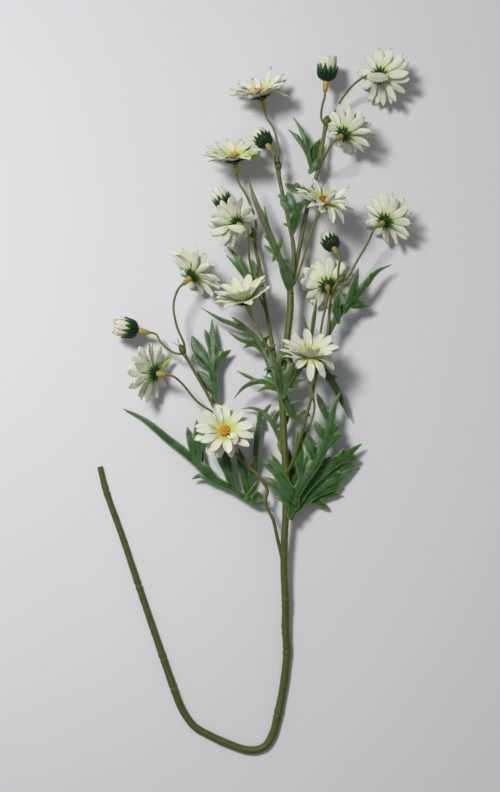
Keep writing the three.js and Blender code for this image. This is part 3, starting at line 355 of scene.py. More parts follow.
# Leaves: each has the tone of its green, the shape of its lobes' tips and one or more moulded sheets. A sheet
# is a list of lobes, ribs among them. A lobe is [half width, then points out to its tip]: its width is in
# pixels, and its points are in pixels across and down and millimetres of height.
LEAVES = {
    "leaf_top_spray": {"tone": "deep", "tips": "sharp", "sheets": [
        [[2.7, [311, 168, 15], [308.5, 156, 15.5], [303.5, 145.5, 15.5], [297, 137.5, 14.5],
          [287.5, 128.8, 12.5]],
         [1.8, [299, 140, 15], [297.7, 137, 15], [296.3, 134, 14.5]]],
        [[2.3, [309.5, 157, 15.5], [307, 146, 15.5], [304, 137, 14.5], [300, 127.5, 13.5], [293, 116.8, 12]],
         [2.2, [307.5, 151, 15.5], [308.3, 142, 14.5], [306.5, 135.2, 14]]],
        [[4.5, [312, 167, 14], [314, 152, 11.5], [320.5, 138.5, 9]]],
        [[3.6, [310, 172, 14.5], [316, 164, 15.5], [323, 156, 14.5]]],
    ]},
    "leaf_left_spray": {"tone": "deep", "tips": "blunt", "sheets": [
        [[4.6, [292.5, 232, 23], [294, 221, 24.5], [296.5, 210, 25], [299.5, 202, 24.5]],
         [4.2, [295, 217, 24.5], [292, 205, 25], [287.3, 192.5, 23]],
         [2.7, [292, 216, 24.5], [286.5, 208, 24], [280.5, 200.5, 22.5]],
         [2.4, [291, 204, 24.5], [284.5, 198.5, 24], [278, 194.8, 22.5]]],
        [[2.4, [297, 216, 24], [302.5, 204, 23], [308, 199, 22.5], [314, 195.5, 21.5]],
         [2.2, [308, 200, 22.5], [311.5, 195, 22], [305, 190.5, 22]],
         [3.6, [308, 190.8, 22], [299, 190, 23], [292, 187.7, 22.5], [285, 183.7, 22]],
         [2.6, [299, 191, 23], [297, 187, 23], [296, 183.3, 22.5]]],
    ]},
    "leaf_fork": {"tone": "grey", "tips": "sharp", "sheets": [
        [[3.5, [290.5, 291, 23], [289, 281, 25], [285, 270, 26], [280, 259, 26.5], [275.5, 249, 27],
          [270.5, 237, 27], [265.5, 225, 27], [260, 212, 26.5], [255, 200, 26], [251, 188, 25],
          [247.5, 174.5, 24]],
         [5.4, [290, 289, 23.5], [287.5, 278, 25], [284, 268, 26], [280.5, 258, 26.5]],
         [1.4, [269, 229, 27], [266, 217, 26.5], [264.5, 205.5, 26]],
         [1.7, [273, 243, 27], [268.5, 239, 26.5], [263.8, 235.3, 26]],
         [2.3, [276, 253, 27], [270.5, 250, 26.5], [264, 245.3, 25.5]],
         [2.3, [276, 252, 27], [280, 244.5, 27], [281, 236, 26]],
         [2.5, [281, 265, 26.5], [286, 260.5, 26.5], [290.5, 263.5, 25.5]],
         [2.3, [280, 259, 26.5], [275, 257, 26], [273, 261.8, 25]]],
    ]},
    "leaf_left_branch": {"tone": "deep", "tips": "sharp", "sheets": [
        [[2.9, [251, 282, 13], [246, 276, 12], [241, 266, 11], [236.5, 257, 10], [227, 246.5, 8]],
         [1.9, [246, 279, 12], [240, 270.5, 10.5], [234, 262.5, 9.5], [225.7, 255, 8]],
         [1.9, [241.5, 268, 11], [240, 261, 11], [239.2, 255.5, 10.5]]],
        [[3.7, [250, 283, 12], [254.3, 272, 10.5], [251.7, 258.3, 8]]],
    ]},
    "leaf_right_branch": {"tone": "deep", "tips": "sharp", "sheets": [
        [[3.9, [328, 335, 18.5], [334, 322, 19], [342, 310, 18.5], [351, 301, 18], [360, 291, 17.5],
          [368, 281, 17], [378, 271, 15], [392, 264.5, 12]],
         [4.3, [345, 311, 18.5], [350.5, 298, 18.5], [354, 285, 18], [358.5, 268, 17]],
         [2.3, [366, 286, 17.5], [369.5, 280, 17.5], [371, 272.5, 17]],
         [1.9, [359, 294, 17.5], [361.5, 289, 17], [361.7, 284, 16.5]],
         [2.4, [350, 306, 17.5], [359, 303, 15.5], [367.5, 300.2, 14]]],
        [[2.3, [350, 306.5, 17], [361, 306.5, 14], [371.5, 305, 12]]],
        [[3.9, [338, 322, 19], [336.5, 308, 22.5], [338.8, 290, 24.5]],
         [2.1, [337.5, 314, 21], [334, 308.5, 22], [331.3, 304, 21.5]]],
    ]},
    "leaf_lower_left_spray": {"tone": "deep", "tips": "blunt", "sheets": [
        [[4, [214.5, 405, 11], [214.3, 388, 11], [213, 369, 11], [212.8, 352, 10], [212.5, 335, 8.5],
          [212, 320, 7]],
         [2.4, [211.5, 353, 10], [208.5, 341, 9], [205, 329.5, 8]],
         [4.9, [214, 373, 11], [206, 360, 10], [198, 350, 8.5], [192.2, 336, 6.5]],
         [2.7, [203, 365, 9.5], [197.5, 359.5, 8.5], [192.3, 355.5, 7.5]],
         [5, [214, 392, 11], [206.5, 381.5, 10], [197.5, 372, 8.5]],
         [2.7, [214.5, 371, 11], [219, 360.5, 10], [224.5, 354.5, 9], [231, 350, 8]],
         [1.8, [219, 361, 10], [221.5, 355.5, 9.5], [222.4, 350, 9]],
         [1.7, [214, 355, 10], [217.3, 351, 9.5], [217.8, 345.5, 8.5]]],
    ]},
    "leaf_whorl": {"tone": "grey", "tips": "sharp", "sheets": [
        [[3.5, [283, 396, 22], [277.5, 383, 21.5], [271.5, 370, 20.5], [267, 357, 19], [261, 346, 17.5],
          [250, 333, 16.5], [236, 325.5, 16], [220, 319, 15.5], [200.5, 307.3, 15]],
         [2.3, [251, 334, 16.5], [240, 323.5, 16.5], [231, 316.3, 16]],
         [1.7, [260, 342, 17.5], [249, 333.8, 17.5], [239.3, 332.5, 17]],
         [2.3, [265, 354, 18.5], [253, 343.3, 18.5], [241, 340, 18.5], [228, 331.8, 18.5]],
         [1.9, [255, 345, 18.5], [248.5, 345.2, 17.5], [243.3, 347.8, 16.5]],
         [2.5, [263, 350, 18.5], [264.5, 341, 19], [270.3, 334, 18.5]],
         [2.5, [267, 356, 19.5], [270, 348.5, 20], [276.5, 344, 20]],
         [1.5, [273, 364, 20.5], [269, 370, 21], [266, 376.5, 20.5]]],
        [[2.5, [282, 394, 22.5], [272, 385, 22], [262, 381.3, 22], [252, 383, 21], [243, 388, 19],
          [234, 398.5, 16.5]],
         [1.7, [260, 382, 22], [249, 377, 20], [236.5, 370.8, 18]],
         [1.9, [277, 390, 22], [266, 387.5, 20.5], [256.7, 392, 19]],
         [1.7, [282, 387, 22.5], [272, 380, 22.5], [262, 375.3, 22]]],
        [[3, [284, 397, 23.5], [287, 386, 24.5], [291.5, 376, 24.5], [292, 365, 24], [285, 357.5, 23.5],
          [275, 353, 22.5]],
         [2.3, [291, 367, 24.5], [289.5, 355, 25], [283.3, 344.5, 24]],
         [2.2, [291, 374, 24.5], [282.5, 369, 25], [276, 374.5, 24.5]],
         [1.9, [286, 392, 24], [292, 390.5, 24], [298.7, 389, 23.5]]],
        [[4.5, [284, 395, 22.5], [292, 378, 23.5], [302, 364, 24], [311.5, 355.5, 22]],
         [2.2, [285, 390, 22.5], [294, 382, 23], [306.3, 379.3, 22]],
         [4, [302, 366, 23.8], [316, 363, 22], [326, 373, 20], [334, 385, 16], [341, 399, 11.5],
          [349.7, 419.5, 7]],
         [2.5, [328, 379, 19], [333, 377, 18], [338, 377, 16.5]],
         [2.4, [309.5, 364, 22.5], [311, 345, 19.5], [306, 327, 19], [300, 311, 19]]],
        [[2.1, [310.5, 342, 19.5], [314, 318, 22], [317, 296.5, 24]]],
        [[5.2, [281, 392, 24.5], [279, 378, 25.5], [276.5, 366, 25.5], [269, 353, 24.5]],
         [3.8, [281, 385, 25], [288, 373, 26], [293.5, 362, 25]],
         [2.3, [277, 372, 25.5], [270, 367.5, 24.5], [264, 370.5, 23.5]],
         [2.2, [278, 362, 25.5], [284, 355, 25.5], [290, 352, 24.5]]],
        [[5, [283, 395, 22], [289, 407, 20.5], [295, 417, 19.7], [302.5, 424, 19.5]],
         [2.3, [288, 406, 21], [295, 403.3, 21.5], [302.5, 400.3, 21.5]],
         [2.5, [296, 418, 19.7], [304, 412, 20.2], [311, 417, 19.5]]],
    ]},
    "leaf_behind_stem": {"tone": "grey", "tips": "sharp", "sheets": [
        [[2.5, [283, 450, 12], [277.5, 434, 10.5], [270.5, 420, 10], [262, 411.7, 9], [251, 407.9, 8],
          [240.7, 409, 6]],
         [2, [264, 413.5, 9], [268, 407.5, 9], [271.7, 404.2, 8]],
         [2.9, [273, 425, 10], [276.5, 415, 10], [282, 409, 9.5]],
         [2.7, [279, 433, 10.5], [286, 421, 9.5], [289.5, 412.5, 8.5]],
         [1.9, [284, 457, 12], [280.5, 449, 11], [276.7, 442.7, 10]]],
        [[2.9, [260, 411, 9], [259, 424, 7], [257, 440, 5], [255.5, 456, 3.5], [256.7, 474.5, 2.5]],
         [2.3, [258, 415, 8.5], [261, 421, 7.5], [264.3, 427.7, 6.5]]],
    ]},
    "leaf_bottom_left": {"tone": "deep", "tips": "blunt", "sheets": [
        [[3.6, [264, 502, 11], [255, 503, 11], [245, 497.5, 11], [233, 489, 10.5], [220, 482.5, 10.5],
          [209, 475, 10], [196, 462, 9.5], [182, 450, 8.5], [166, 437.5, 7], [150, 424, 5.5], [138, 416, 4],
          [124, 409.2, 3]],
         [1.9, [169, 441, 7], [163, 434.3, 7.5], [157.7, 428.2, 7.5]],
         [3.9, [199, 467, 9.5], [197.8, 450, 10], [197.8, 435, 10], [196.5, 420.5, 9]],
         [3.3, [195, 463, 9.5], [192.3, 448, 9.5], [187.2, 427, 8.5]],
         [2.7, [217, 482, 10.5], [210, 472, 10.5], [204, 463, 10]],
         [2.3, [223, 484.5, 10], [211, 480.2, 9.5], [201, 475.7, 9], [191.7, 479, 7]],
         [4.5, [235, 491, 11], [229.7, 476, 11], [226.3, 462, 10.5], [225, 446.5, 9.5]],
         [2.5, [226.5, 473, 10.5], [221.7, 463.5, 10], [217.3, 455.5, 9]],
         [4.7, [249.5, 499, 11.5], [245.3, 480, 11.5], [241.7, 465, 11], [239, 448.5, 10]],
         [3.3, [249, 480, 11.5], [252.3, 467, 10.5], [257.2, 456, 9.5]]],
        [[2.5, [204.5, 473, 9.5], [203, 462, 7], [201.5, 450, 6]]],
        [[2.4, [246, 498.5, 11.5], [253, 490, 13.5], [258.5, 480.5, 13]],
         [2.7, [252, 503, 11.5], [257, 494.5, 13], [263, 498.5, 12]]],
    ]},
    "leaf_bottom_right": {"tone": "deep", "tips": "blunt", "sheets": [
        [[5.2, [290, 516, 16], [295, 497, 18], [304, 480, 19.5], [314, 465, 19.5], [321, 451, 19],
          [326, 436, 18.5], [329.5, 422, 18], [333, 409, 17.5], [339.7, 392.5, 16.5]],
         [3.1, [328.5, 421, 18], [323.5, 409.5, 18], [317.3, 394, 16.5]],
         [3.3, [325, 440, 18.5], [320, 431.5, 18.5], [314.7, 421.5, 17.5]],
         [2.7, [327.5, 442, 18.5], [332, 432, 18], [335.7, 422, 17.5]],
         [1.9, [332, 433.5, 18], [335.5, 429.2, 18], [339.3, 424.8, 17.5]],
         [3.3, [324.5, 450, 19], [332.3, 441, 18.5], [342, 433.2, 16]],
         [4.7, [316.5, 463, 19.5], [311.5, 449, 19], [306.5, 438, 18], [299.5, 429, 16]],
         [4.3, [303, 485, 19.5], [300.5, 468, 19.5], [299, 451, 19], [296.8, 431, 17.5]],
         [2.5, [302, 471, 19.5], [304.7, 461.5, 19.5], [308.3, 453.7, 19]],
         [4.7, [297, 502, 18.5], [288, 487, 20], [278, 473, 20.5], [267.5, 458, 19]],
         [2.5, [280, 475.5, 19.5], [271.5, 469.5, 19], [263.2, 461.7, 18]],
         [4.3, [297, 507, 18], [285, 494, 19.5], [274, 484.5, 19.5], [261.5, 477.3, 17.5]],
         [2.3, [290, 506, 17.5], [282, 499.5, 17.5], [275.3, 496.3, 16.5]]],
        [[2.7, [289, 489, 19.5], [279.5, 467.5, 16.5], [270.7, 453.7, 15]]],
        [[3.3, [296, 501, 16.5], [292.7, 477, 11], [289, 449, 8]]],
        [[4, [291.5, 518, 12], [292.5, 507, 15], [294, 496, 18.2]],
         [5.2, [296, 507, 15.5], [309, 484, 14], [321, 472.3, 12.5], [333, 463.3, 11], [345, 455.3, 10],
          [361.3, 444.2, 9]],
         [3.1, [334, 465, 11], [340, 457, 11], [343.7, 448.2, 10.5]],
         [3.1, [343, 460, 10], [350, 458.3, 9.5], [357.5, 457.5, 9]]],
        [[3.1, [315, 476, 12], [324, 464.5, 9.5], [333.5, 456.3, 8]],
         [2.9, [315, 478, 12], [328, 474.3, 9], [340.5, 473, 7.5]],
         [2.7, [328, 471, 9], [342, 467.3, 7], [356, 464.3, 5.5]]],
        [[4.4, [289, 516, 13.5], [300, 505, 12.5], [313, 495, 11], [326, 486.5, 9], [339, 478.3, 7],
          [357.3, 465.3, 4.5]],
         [3.4, [317, 494, 10], [329, 489, 8], [341.5, 484.3, 6]],
         [2.5, [311, 496, 10.5], [320, 486.5, 8.5], [326.7, 478.7, 7.5]]],
        [[2.9, [310, 498.5, 10.5], [327, 495, 6.5], [341.5, 493.2, 4.5]],
         [2.9, [308, 500, 10.5], [319, 502.5, 7.5], [328, 508.3, 5.5]]],
    ]},
}


def place(points):
    """Millimetre points of the routes, as metres in the frame."""
    return (np.asarray(points, float) - SPRAY_MIDDLE) * MM


def seen(points):
    """Millimetre places of spots seen so many pixels across and down and lying so high."""
    across, down, height = np.asarray(points, float).T
    scale = SEEN_SCALE * (1 - height / SEEN_EYE)
    return np.stack([(across - SEEN_ORIGIN[0]) * scale, (SEEN_ORIGIN[1] - down) * scale, height], axis=1)


def unit(vectors):
    """Vectors at length one."""
    return vectors / np.linalg.norm(vectors, axis=-1, keepdims=True)


def ease(value):
    """Smooth step from 0 to 1 as the value goes from 0 to 1."""
    value = np.clip(value, 0, 1)
    return value * value * (3 - 2 * value)


def bump(distance, width):
    """Rounded hump of height 1 round zero."""
    return np.exp(-((distance / width) ** 2))


def follow(place_along, profile):
    """Value of a profile, given as (place, value) pairs, at any place along it."""
    places, values = np.array(profile, float).T
    return np.interp(place_along, places, values)


def turns(count):
    """Angles of so many even steps round an axis."""
    return np.arange(count) / count * 2 * math.pi


def polar(radius, angle, height):
    """Points from their distance off the local axis, their angle round it and their height."""
    return np.stack(np.broadcast_arrays(radius * np.cos(angle), radius * np.sin(angle), height), axis=-1)


def out_and_round(angle):
    """Directions out from the local axis and round it, at an angle."""
    outward = np.array([math.cos(angle), math.sin(angle), 0.0])
    return outward, np.array([-outward[1], outward[0], 0.0])


class Route:
    """Smooth line through laid points, in even steps.

    knots holds how far along the line each laid point is.
    """

    STEPS_PER_LEG = 12

    def __init__(self, points, step):
        fine = self._through(np.asarray(points, float))
        lengths = np.linalg.norm(np.diff(fine, axis=0), axis=1)
        distances = np.concatenate([[0], np.cumsum(lengths)])
        self.knots = distances[:: self.STEPS_PER_LEG]
        self.length = distances[-1]
        count = max(3, int(round(self.length / step)) + 1)
        self.distance = np.linspace(0, self.length, count)
        self.share = self.distance / self.length
        self.points = np.stack([np.interp(self.distance, distances, axis) for axis in fine.T], axis=1)

    def _through(self, laid):
        """Centripetal curve through the points laid."""
        padded = np.vstack([2 * laid[0] - laid[1], laid, 2 * laid[-1] - laid[-2]])
        share = np.linspace(0, 1, self.STEPS_PER_LEG, endpoint=False)[:, None]
        rise = ease(share)
        legs = []
        for before, start, end, after in zip(padded, padded[1:], padded[2:], padded[3:]):
            first, pace, last = [
                math.sqrt(np.linalg.norm(leg)) for leg in (start - before, end - start, after - end)
            ]
            leave = (start - before) / first - (end - before) / (first + pace) + (end - start) / pace
            arrive = (end - start) / pace - (after - start) / (pace + last) + (after - end) / last
            legs.append(
                start * (1 - rise)
                + end * rise
                + leave * pace * share * (1 - share) ** 2
                - arrive * pace * share**2 * (1 - share)
            )
        return np.vstack([*legs, laid[-1:]])

    def frames(self):
        """Directions across and above the line at each of its points, with no roll about it."""
        along = unit(np.gradient(self.points, axis=0))
        above = np.empty_like(along)
        start = UP if abs(along[0][2]) < 0.9 else np.array([0.0, 1.0, 0.0])
        for i, tangent in enumerate(along):
            start = unit(start - tangent * start.dot(tangent))
            above[i] = start
        return np.cross(along, above), above


class Shape:
    """Points, faces and per-point marks of one piece, gathered from its parts."""

    def __init__(self):
        self.points = []
        self.faces = []
        self.marks = []
        self.count = 0

    def add(self, points, faces, **marks):
        """Adds a part: points in millimetres, faces as rows of its own point numbers, one mark a point."""
        points = np.asarray(points, float).reshape(-1, 3)
        size = len(points)
        self.points.append(points)
        self.faces += [tuple(int(i) + self.count for i in face) for face in faces]
        self.marks.append({name: np.broadcast_to(np.ravel(value), (size,)) for name, value in marks.items()})
        self.count += size

    def piece(self, name, material, replaced, transform=None):
        """Makes the mesh, rides it on the body and lets it stand for the CAD nodes named."""
        points = np.vstack(self.points)
        if transform is not None:
            points = points @ transform[:3, :3].T + transform[:3, 3]
        points[:, 2] = np.maximum(points[:, 2], FLOOR_GAP)
        mesh = bpy.data.meshes.new(name)
        mesh.from_pydata(place(points), [], self.faces)
        for mark in sorted({key for part in self.marks for key in part}):
            values = [part.get(mark, np.zeros(len(spots))) for part, spots in zip(self.marks, self.points)]
            layer = mesh.attributes.new(mark, "FLOAT", "POINT")
            layer.data.foreach_set("value", np.concatenate(values).astype(np.float32))
        mesh.polygons.foreach_set("use_smooth", [True] * len(mesh.polygons))
        mesh.materials.append(material)
        mesh.update()
        made = bpy.data.objects.new(name, mesh)
        bpy.context.scene.collection.objects.link(made)
        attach(made, BODY)
        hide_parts(*replaced)


def grid_faces(rows, columns, start=0, closed=False):
    """Four-sided faces over a grid of points, closed round its columns or not."""
    steps = np.arange(columns if closed else columns - 1)
    row, column = np.meshgrid(np.arange(rows - 1) * columns, steps, indexing="ij")
    after = (column + 1) % columns
    corners = [row + column, row + after, row + columns + after, row + columns + column]
    return start + np.stack([corner.ravel() for corner in corners], axis=1)


def capped_faces(rows, sides):
    """Faces round a closed grid of points, and fans to the two points after them that close its ends."""
    faces = list(grid_faces(rows, sides, closed=True))
    first, last = rows * sides, rows * sides + 1
    for k in range(sides):
        after = (k + 1) % sides
        faces.append((first, after, k))
        faces.append((last, (rows - 1) * sides + k, (rows - 1) * sides + after))
    return faces


def add_lathe(shape, profile, sides, relief=None, **marks):
    """Adds a solid of revolution about the local axis from (radius, height) pairs, its ends closed."""
    radii, heights = np.asarray(profile, float).T[..., None]
    angles = turns(sides)
    radius = radii * np.ones(sides)
    if relief is not None:
        radius = radius * relief(angles[None, :], heights)
    ends = [UP * heights[0], UP * heights[-1]]
    points = np.vstack([polar(radius, angles, heights).reshape(-1, 3), ends])
    shape.add(points, capped_faces(len(radii), sides), **marks)


def add_tube(shape, route, radii, sides, relief=None, **marks):
    """Adds a tube along a route, with flat ends. A mark is one value, one a step or one a point."""
    across, above = route.frames()
    angles = turns(sides)
    radius = np.asarray(radii, float)[:, None] * np.ones(sides)
    if relief is not None:
        radius = radius * relief(angles[None, :], route.distance[:, None])
    rings = (
        route.points[:, None]
        + across[:, None] * (radius * np.cos(angles))[..., None]
        + above[:, None] * (radius * np.sin(angles))[..., None]
    )
    points = np.vstack([rings.reshape(-1, 3), route.points[:1], route.points[-1:]])
    spread = {}
    for name, value in marks.items():
        value = np.asarray(value, float)
        ring = np.broadcast_to(value[:, None] if value.ndim == 1 else value, radius.shape)
        spread[name] = np.concatenate([ring.ravel(), [ring[0].mean(), ring[-1].mean()]])
    shape.add(points, capped_faces(len(radius), sides), **spread)


def add_sheet(shape, top, bottom, **marks):
    """Adds a thin sheet from two grids of points, closed round its rim."""
    rows, columns = top.shape[:2]
    size = rows * columns
    faces = [*grid_faces(rows, columns), *grid_faces(rows, columns, size)[:, ::-1]]
    number = np.arange(size).reshape(rows, columns)
    rim = [*number[0], *number[1:, -1], *number[-1, -2::-1], *number[-2:0:-1, 0]]
    for a, b in zip(rim, rim[1:] + rim[:1]):
        faces.append((b, a, a + size, b + size))
    side = np.repeat([1.0, 0.0], size)
    full = {name: np.broadcast_to(value, (rows, columns)) for name, value in marks.items()}
    both = {name: np.tile(value.ravel(), 2) for name, value in full.items()}
    shape.add(np.vstack([top.reshape(-1, 3), bottom.reshape(-1, 3)]), faces, front=side, **both)


def flower_frame(flower):
    """Matrix that stands local points, with Z the way the flower faces, at its place in the routes."""
    axis = unit(np.array(flower["faces"], float))
    side = unit(np.cross(UP, axis))
    matrix = np.eye(4)
    matrix[:3, :3] = np.stack([side, np.cross(axis, side), axis], axis=1) * flower.get("size", 1.0)
    matrix[:3, 3] = flower["at"]
    return matrix


def behind_flower(flower, distance):
    """Point on a flower's own axis, so far behind its base."""
    return np.array(flower["at"], float) - unit(np.array(flower["faces"], float)) * distance


class Signal:
    """One output of a shader node. Python's operators on it add Math nodes."""

    def __init__(self, finish, socket):
        self.finish = finish
        self.socket = socket

    def _math(self, operation, first, second):
        return self.finish.node("ShaderNodeMath", {"operation": operation}, {0: first, 1: second})

    def __add__(self, other):
        return self._math("ADD", self, other)

    __radd__ = __add__

    def __mul__(self, other):
        return self._math("MULTIPLY", self, other)

    __rmul__ = __mul__

    def __sub__(self, other):
        return self._math("SUBTRACT", self, other)

    def sine(self):
        return self._math("SINE", self, 0.0)


class Finish:
    """A material in the making, with its nodes and its main shader."""

    MIX_FACTOR, MIX_FIRST, MIX_SECOND, MIX_RESULT = 0, 6, 7, 2

    def __init__(self, name):
        self.material = bpy.data.materials.new(name)
        self.material.use_nodes = True
        self.tree = self.material.node_tree
        self.shader = self.tree.nodes["Principled BSDF"]

    def node(self, kind, settings, inputs, output=0):
        """Adds a node: its settings first, a ramp's stops among them, then values or signals by socket."""
        made = self.tree.nodes.new(kind)
        for name, value in settings.items():
            if name == "stops":
                self._set_stops(made.color_ramp, value)
            else:
                setattr(made, name, value)
        for key, value in inputs.items():
            self._feed(made.inputs[key], value)
        return Signal(self, made.outputs[output])

    def _set_stops(self, ramp, stops):
        while len(ramp.elements) < len(stops):
            ramp.elements.new(1.0)
        for element, (position, level) in zip(ramp.elements, stops):
            element.position = position
            element.color = (level, level, level, 1.0)

    def _feed(self, socket, value):
        if isinstance(value, Signal):
            self.tree.links.new(value.socket, socket)
        else:
            socket.default_value = value

    def mark(self, name):
        """Value that the mesh carries at each of its points."""
        return self.node("ShaderNodeAttribute", {"attribute_name": name}, {}, "Fac")

    def noise(self, size, detail):
        """Noise between 0 and 1 over the piece's own place, with features about that many metres across."""
        spot = self.node("ShaderNodeTexCoord", {}, {}, "Object")
        inputs = {"Vector": spot, "Scale": 1 / size, "Detail": detail}
        return self.node("ShaderNodeTexNoise", {}, inputs, "Fac")

    def rays(self, across, along, which):
        """Noise between 0 and 1 in long streaks, from the place across and along a petal and its number."""
        spot = self.node("ShaderNodeCombineXYZ", {}, {0: across, 1: along, 2: which})
        return self.node("ShaderNodeTexNoise", {}, {"Vector": spot, "Scale": 1.0, "Detail": 2.0}, "Fac")

    def ramp(self, value, stops):
        """Value taken through grey levels at the stops given."""
        return self.node("ShaderNodeValToRGB", {"stops": stops}, {0: value})

    def blend(self, factor, first, second):
        """Colour between two colours."""
        inputs = {self.MIX_FACTOR: factor, self.MIX_FIRST: first, self.MIX_SECOND: second}
        return self.node("ShaderNodeMix", {"data_type": "RGBA"}, inputs, self.MIX_RESULT)

    def relief(self, height, depth):
        """Feeds the normal with a height field, its full step so many metres deep."""
        raised = self.node("ShaderNodeBump", {}, {"Height": height, "Distance": depth})
        self._feed(self.shader.inputs["Normal"], raised)

    def set(self, **sockets):
        """Sets sockets of the main shader, an underscore in a name standing for a space."""
        for name, value in sockets.items():
            self._feed(self.shader.inputs[name.replace("_", " ")], value)


def opaque(colour, share=1.0):
    """Colour property, darkened to a share of itself, as four numbers."""
    return (*[part * share for part in colour], 1.0)


def colour(name, description, default):
    """Property that holds a colour."""
    return FloatVectorProperty(name=name, description=description, subtype="COLOR", default=default)


def length(name, description, default):
    """Property that holds a length in metres."""
    return FloatProperty(name=name, description=description, unit="LENGTH", default=default)


class DaisyPetalLook(bpy.types.PropertyGroup):
    thickness: length("Thickness", "Thickness of the petals' fabric", 0.00034)
    gutter: length("Gutter", "How far a petal's edges stand above its middle", 0.0006)
    white: colour("Fabric", "Colour of the fabric", (0.80, 0.815, 0.655))
    # The colour in the folds is painted shade, laid on darker streaks of the fabric
    shade: colour("Painted_fold_shade", "Colour in the fabric's folds", (0.60, 0.62, 0.40))
    lime: colour("Lime", "Airbrushed colour behind the petals", (0.46, 0.62, 0.13))
    yellow: colour("Yellow", "Airbrushed colour round the disc", (0.70, 0.68, 0.10))


class DaisyStemLook(bpy.types.PropertyGroup):
    sides: IntProperty(name="Sides", description="Sides of the main stem's section", default=20, min=8)
    olive: colour("Olive", "Colour of the main stem", (0.056, 0.087, 0.010))
    straw: colour("Straw", "Colour of the pedicels", (0.190, 0.185, 0.032))
    flash: colour("Flash", "Colour of the mould's raised lines", (0.23, 0.26, 0.075))


class DaisyLeafLook(bpy.types.PropertyGroup):
    cell: length("Cell", "Size of the faces in a leaf's sheets", 0.0005)
    thickness: length("Thickness", "Thickness of a leaf at its rib", 0.0007)
    deep: colour("Deep green", "Colour of the leaves", (0.014, 0.076, 0.009))
    grey: colour("Grey green", "Colour of the curled leaves", (0.042, 0.074, 0.022))
    # Greyish patches on the leaves are painted sheen, standing in for the satin plastic's reflection
    bloom: colour("Bloom", "Colour of the greyish patches", (0.060, 0.115, 0.058))
    rim: colour("Rim", "Colour along the leaves' thin edges", (0.24, 0.38, 0.12))


class DaisyGreenLook(bpy.types.PropertyGroup):
    dark: colour("Dark green", "Colour of the calyces", (0.003, 0.026, 0.004))
    tip: colour("Sepal tip", "Colour at the sepals' tips", (0.012, 0.135, 0.018))


class DaisyCentreLook(bpy.types.PropertyGroup):
    stamens: IntProperty(name="Stamens", description="Stamens on a disc", default=90, min=20)
    orange: colour("Orange", "Colour of the stamens", (0.80, 0.41, 0.014))
    amber: colour("Amber", "Colour between the stamens", (0.42, 0.16, 0.006))
    gold: colour("Gold", "Colour of the stamens' yellower clumps", (0.80, 0.52, 0.030))
    brown: colour("Brown", "Colour of a browned disc", (0.26, 0.085, 0.010))
    pale: colour("Pale", "Colour of a pale disc", (0.55, 0.60, 0.25))
    collar: colour("Collar", "Colour of the collars", (0.42, 0.31, 0.035))


class DaisyStageLook(bpy.types.PropertyGroup):
    camera_height: length("Camera height", "Height of the camera above the floor", 1.25)
    view_height: length("View height", "Length of floor that fills the view", 0.53856)
    floor: colour("Floor", "Colour of the floor", (0.62, 0.622, 0.65))
    key: FloatProperty(name="Key light", description="Power of the key light", default=5.2, unit="POWER")
    fill: FloatProperty(name="Fill light", description="Strength of the light all round", default=0.27)


def petal_material(look):
    """White fabric, airbrushed lime and yellow near the hub, with a fine weave, creases along it and painted
    shade in its folds.
    """
    finish = Finish("petal_fabric")
    out = finish.mark("out")
    across = finish.mark("across")
    front = finish.mark("front")
    white, shade, lime, yellow = map(opaque, (look.white, look.shade, look.lime, look.yellow))
    streaks = finish.noise(0.0011, 2.0)
    cloud = finish.noise(0.006, 2.0)
    rays = finish.rays(across * 1.6, out * 2.0, finish.mark("petal"))
    reached = out + (cloud - 0.5) * 0.10 + (rays - 0.5) * (0.36 + 0.30 * front)
    behind = finish.ramp(reached, [(0.28, 0.9), (0.40, 0.36), (0.56, 0.0)])
    before = finish.ramp(reached, [(0.24, 1.0), (0.37, 0.85), (0.50, 0.0)])
    haze = behind + front * (before - behind)
    streaked = finish.blend(finish.ramp(rays, [(0.40, 0.75), (0.54, 0.0)]), yellow, lime)
    spray = finish.blend(front, lime, streaked)
    # Darker yellowish streaks at random along the petals: painted shade, as if in the fabric's folds
    shaded_folds = finish.ramp(rays * 0.6 + cloud * 0.4, [(0.38, 0.6), (0.58, 0.0)])
    fabric = finish.blend(shaded_folds * 0.45, white, shade)
    tinted = finish.blend(haze * 0.92, fabric, spray)
    weave = (out * 240.0).sine() * (across * 60.0).sine()
    finish.set(Base_Color=finish.blend(finish.mark("lime") * (0.62 + 0.5 * cloud), tinted, lime))
    finish.set(Roughness=0.78 + 0.1 * cloud, Sheen_Weight=0.12, Specular_IOR_Level=0.3)
    finish.set(Subsurface_Weight=0.3, Subsurface_Scale=0.0015, Subsurface_Radius=(1.0, 0.97, 0.85))
    finish.relief(weave * 0.35 + streaks, 0.00012)
    return finish.material


def stem_material(look):
    """Moulded olive plastic, paler along the mould's lines, going to straw on the pedicels."""
    finish = Finish("stem_plastic")
    mottle = finish.noise(0.004, 4.0)
    grain = finish.noise(0.0006, 2.0)
    body = finish.blend(finish.mark("fresh"), opaque(look.olive), opaque(look.straw))
    spots = finish.ramp(mottle, [(0.35, 0.42), (0.62, 0.0)])
    dark = finish.blend(spots, body, opaque(look.olive, 0.45))
    ridges = finish.mark("ridge") * (0.25 + 0.5 * mottle)
    finish.set(Base_Color=finish.blend(ridges, dark, opaque(look.flash)))
    finish.set(Roughness=0.34 + 0.2 * mottle, Specular_IOR_Level=0.34)
    finish.relief(mottle * 0.7 + grain * 0.9, 0.00026)
    return finish.material


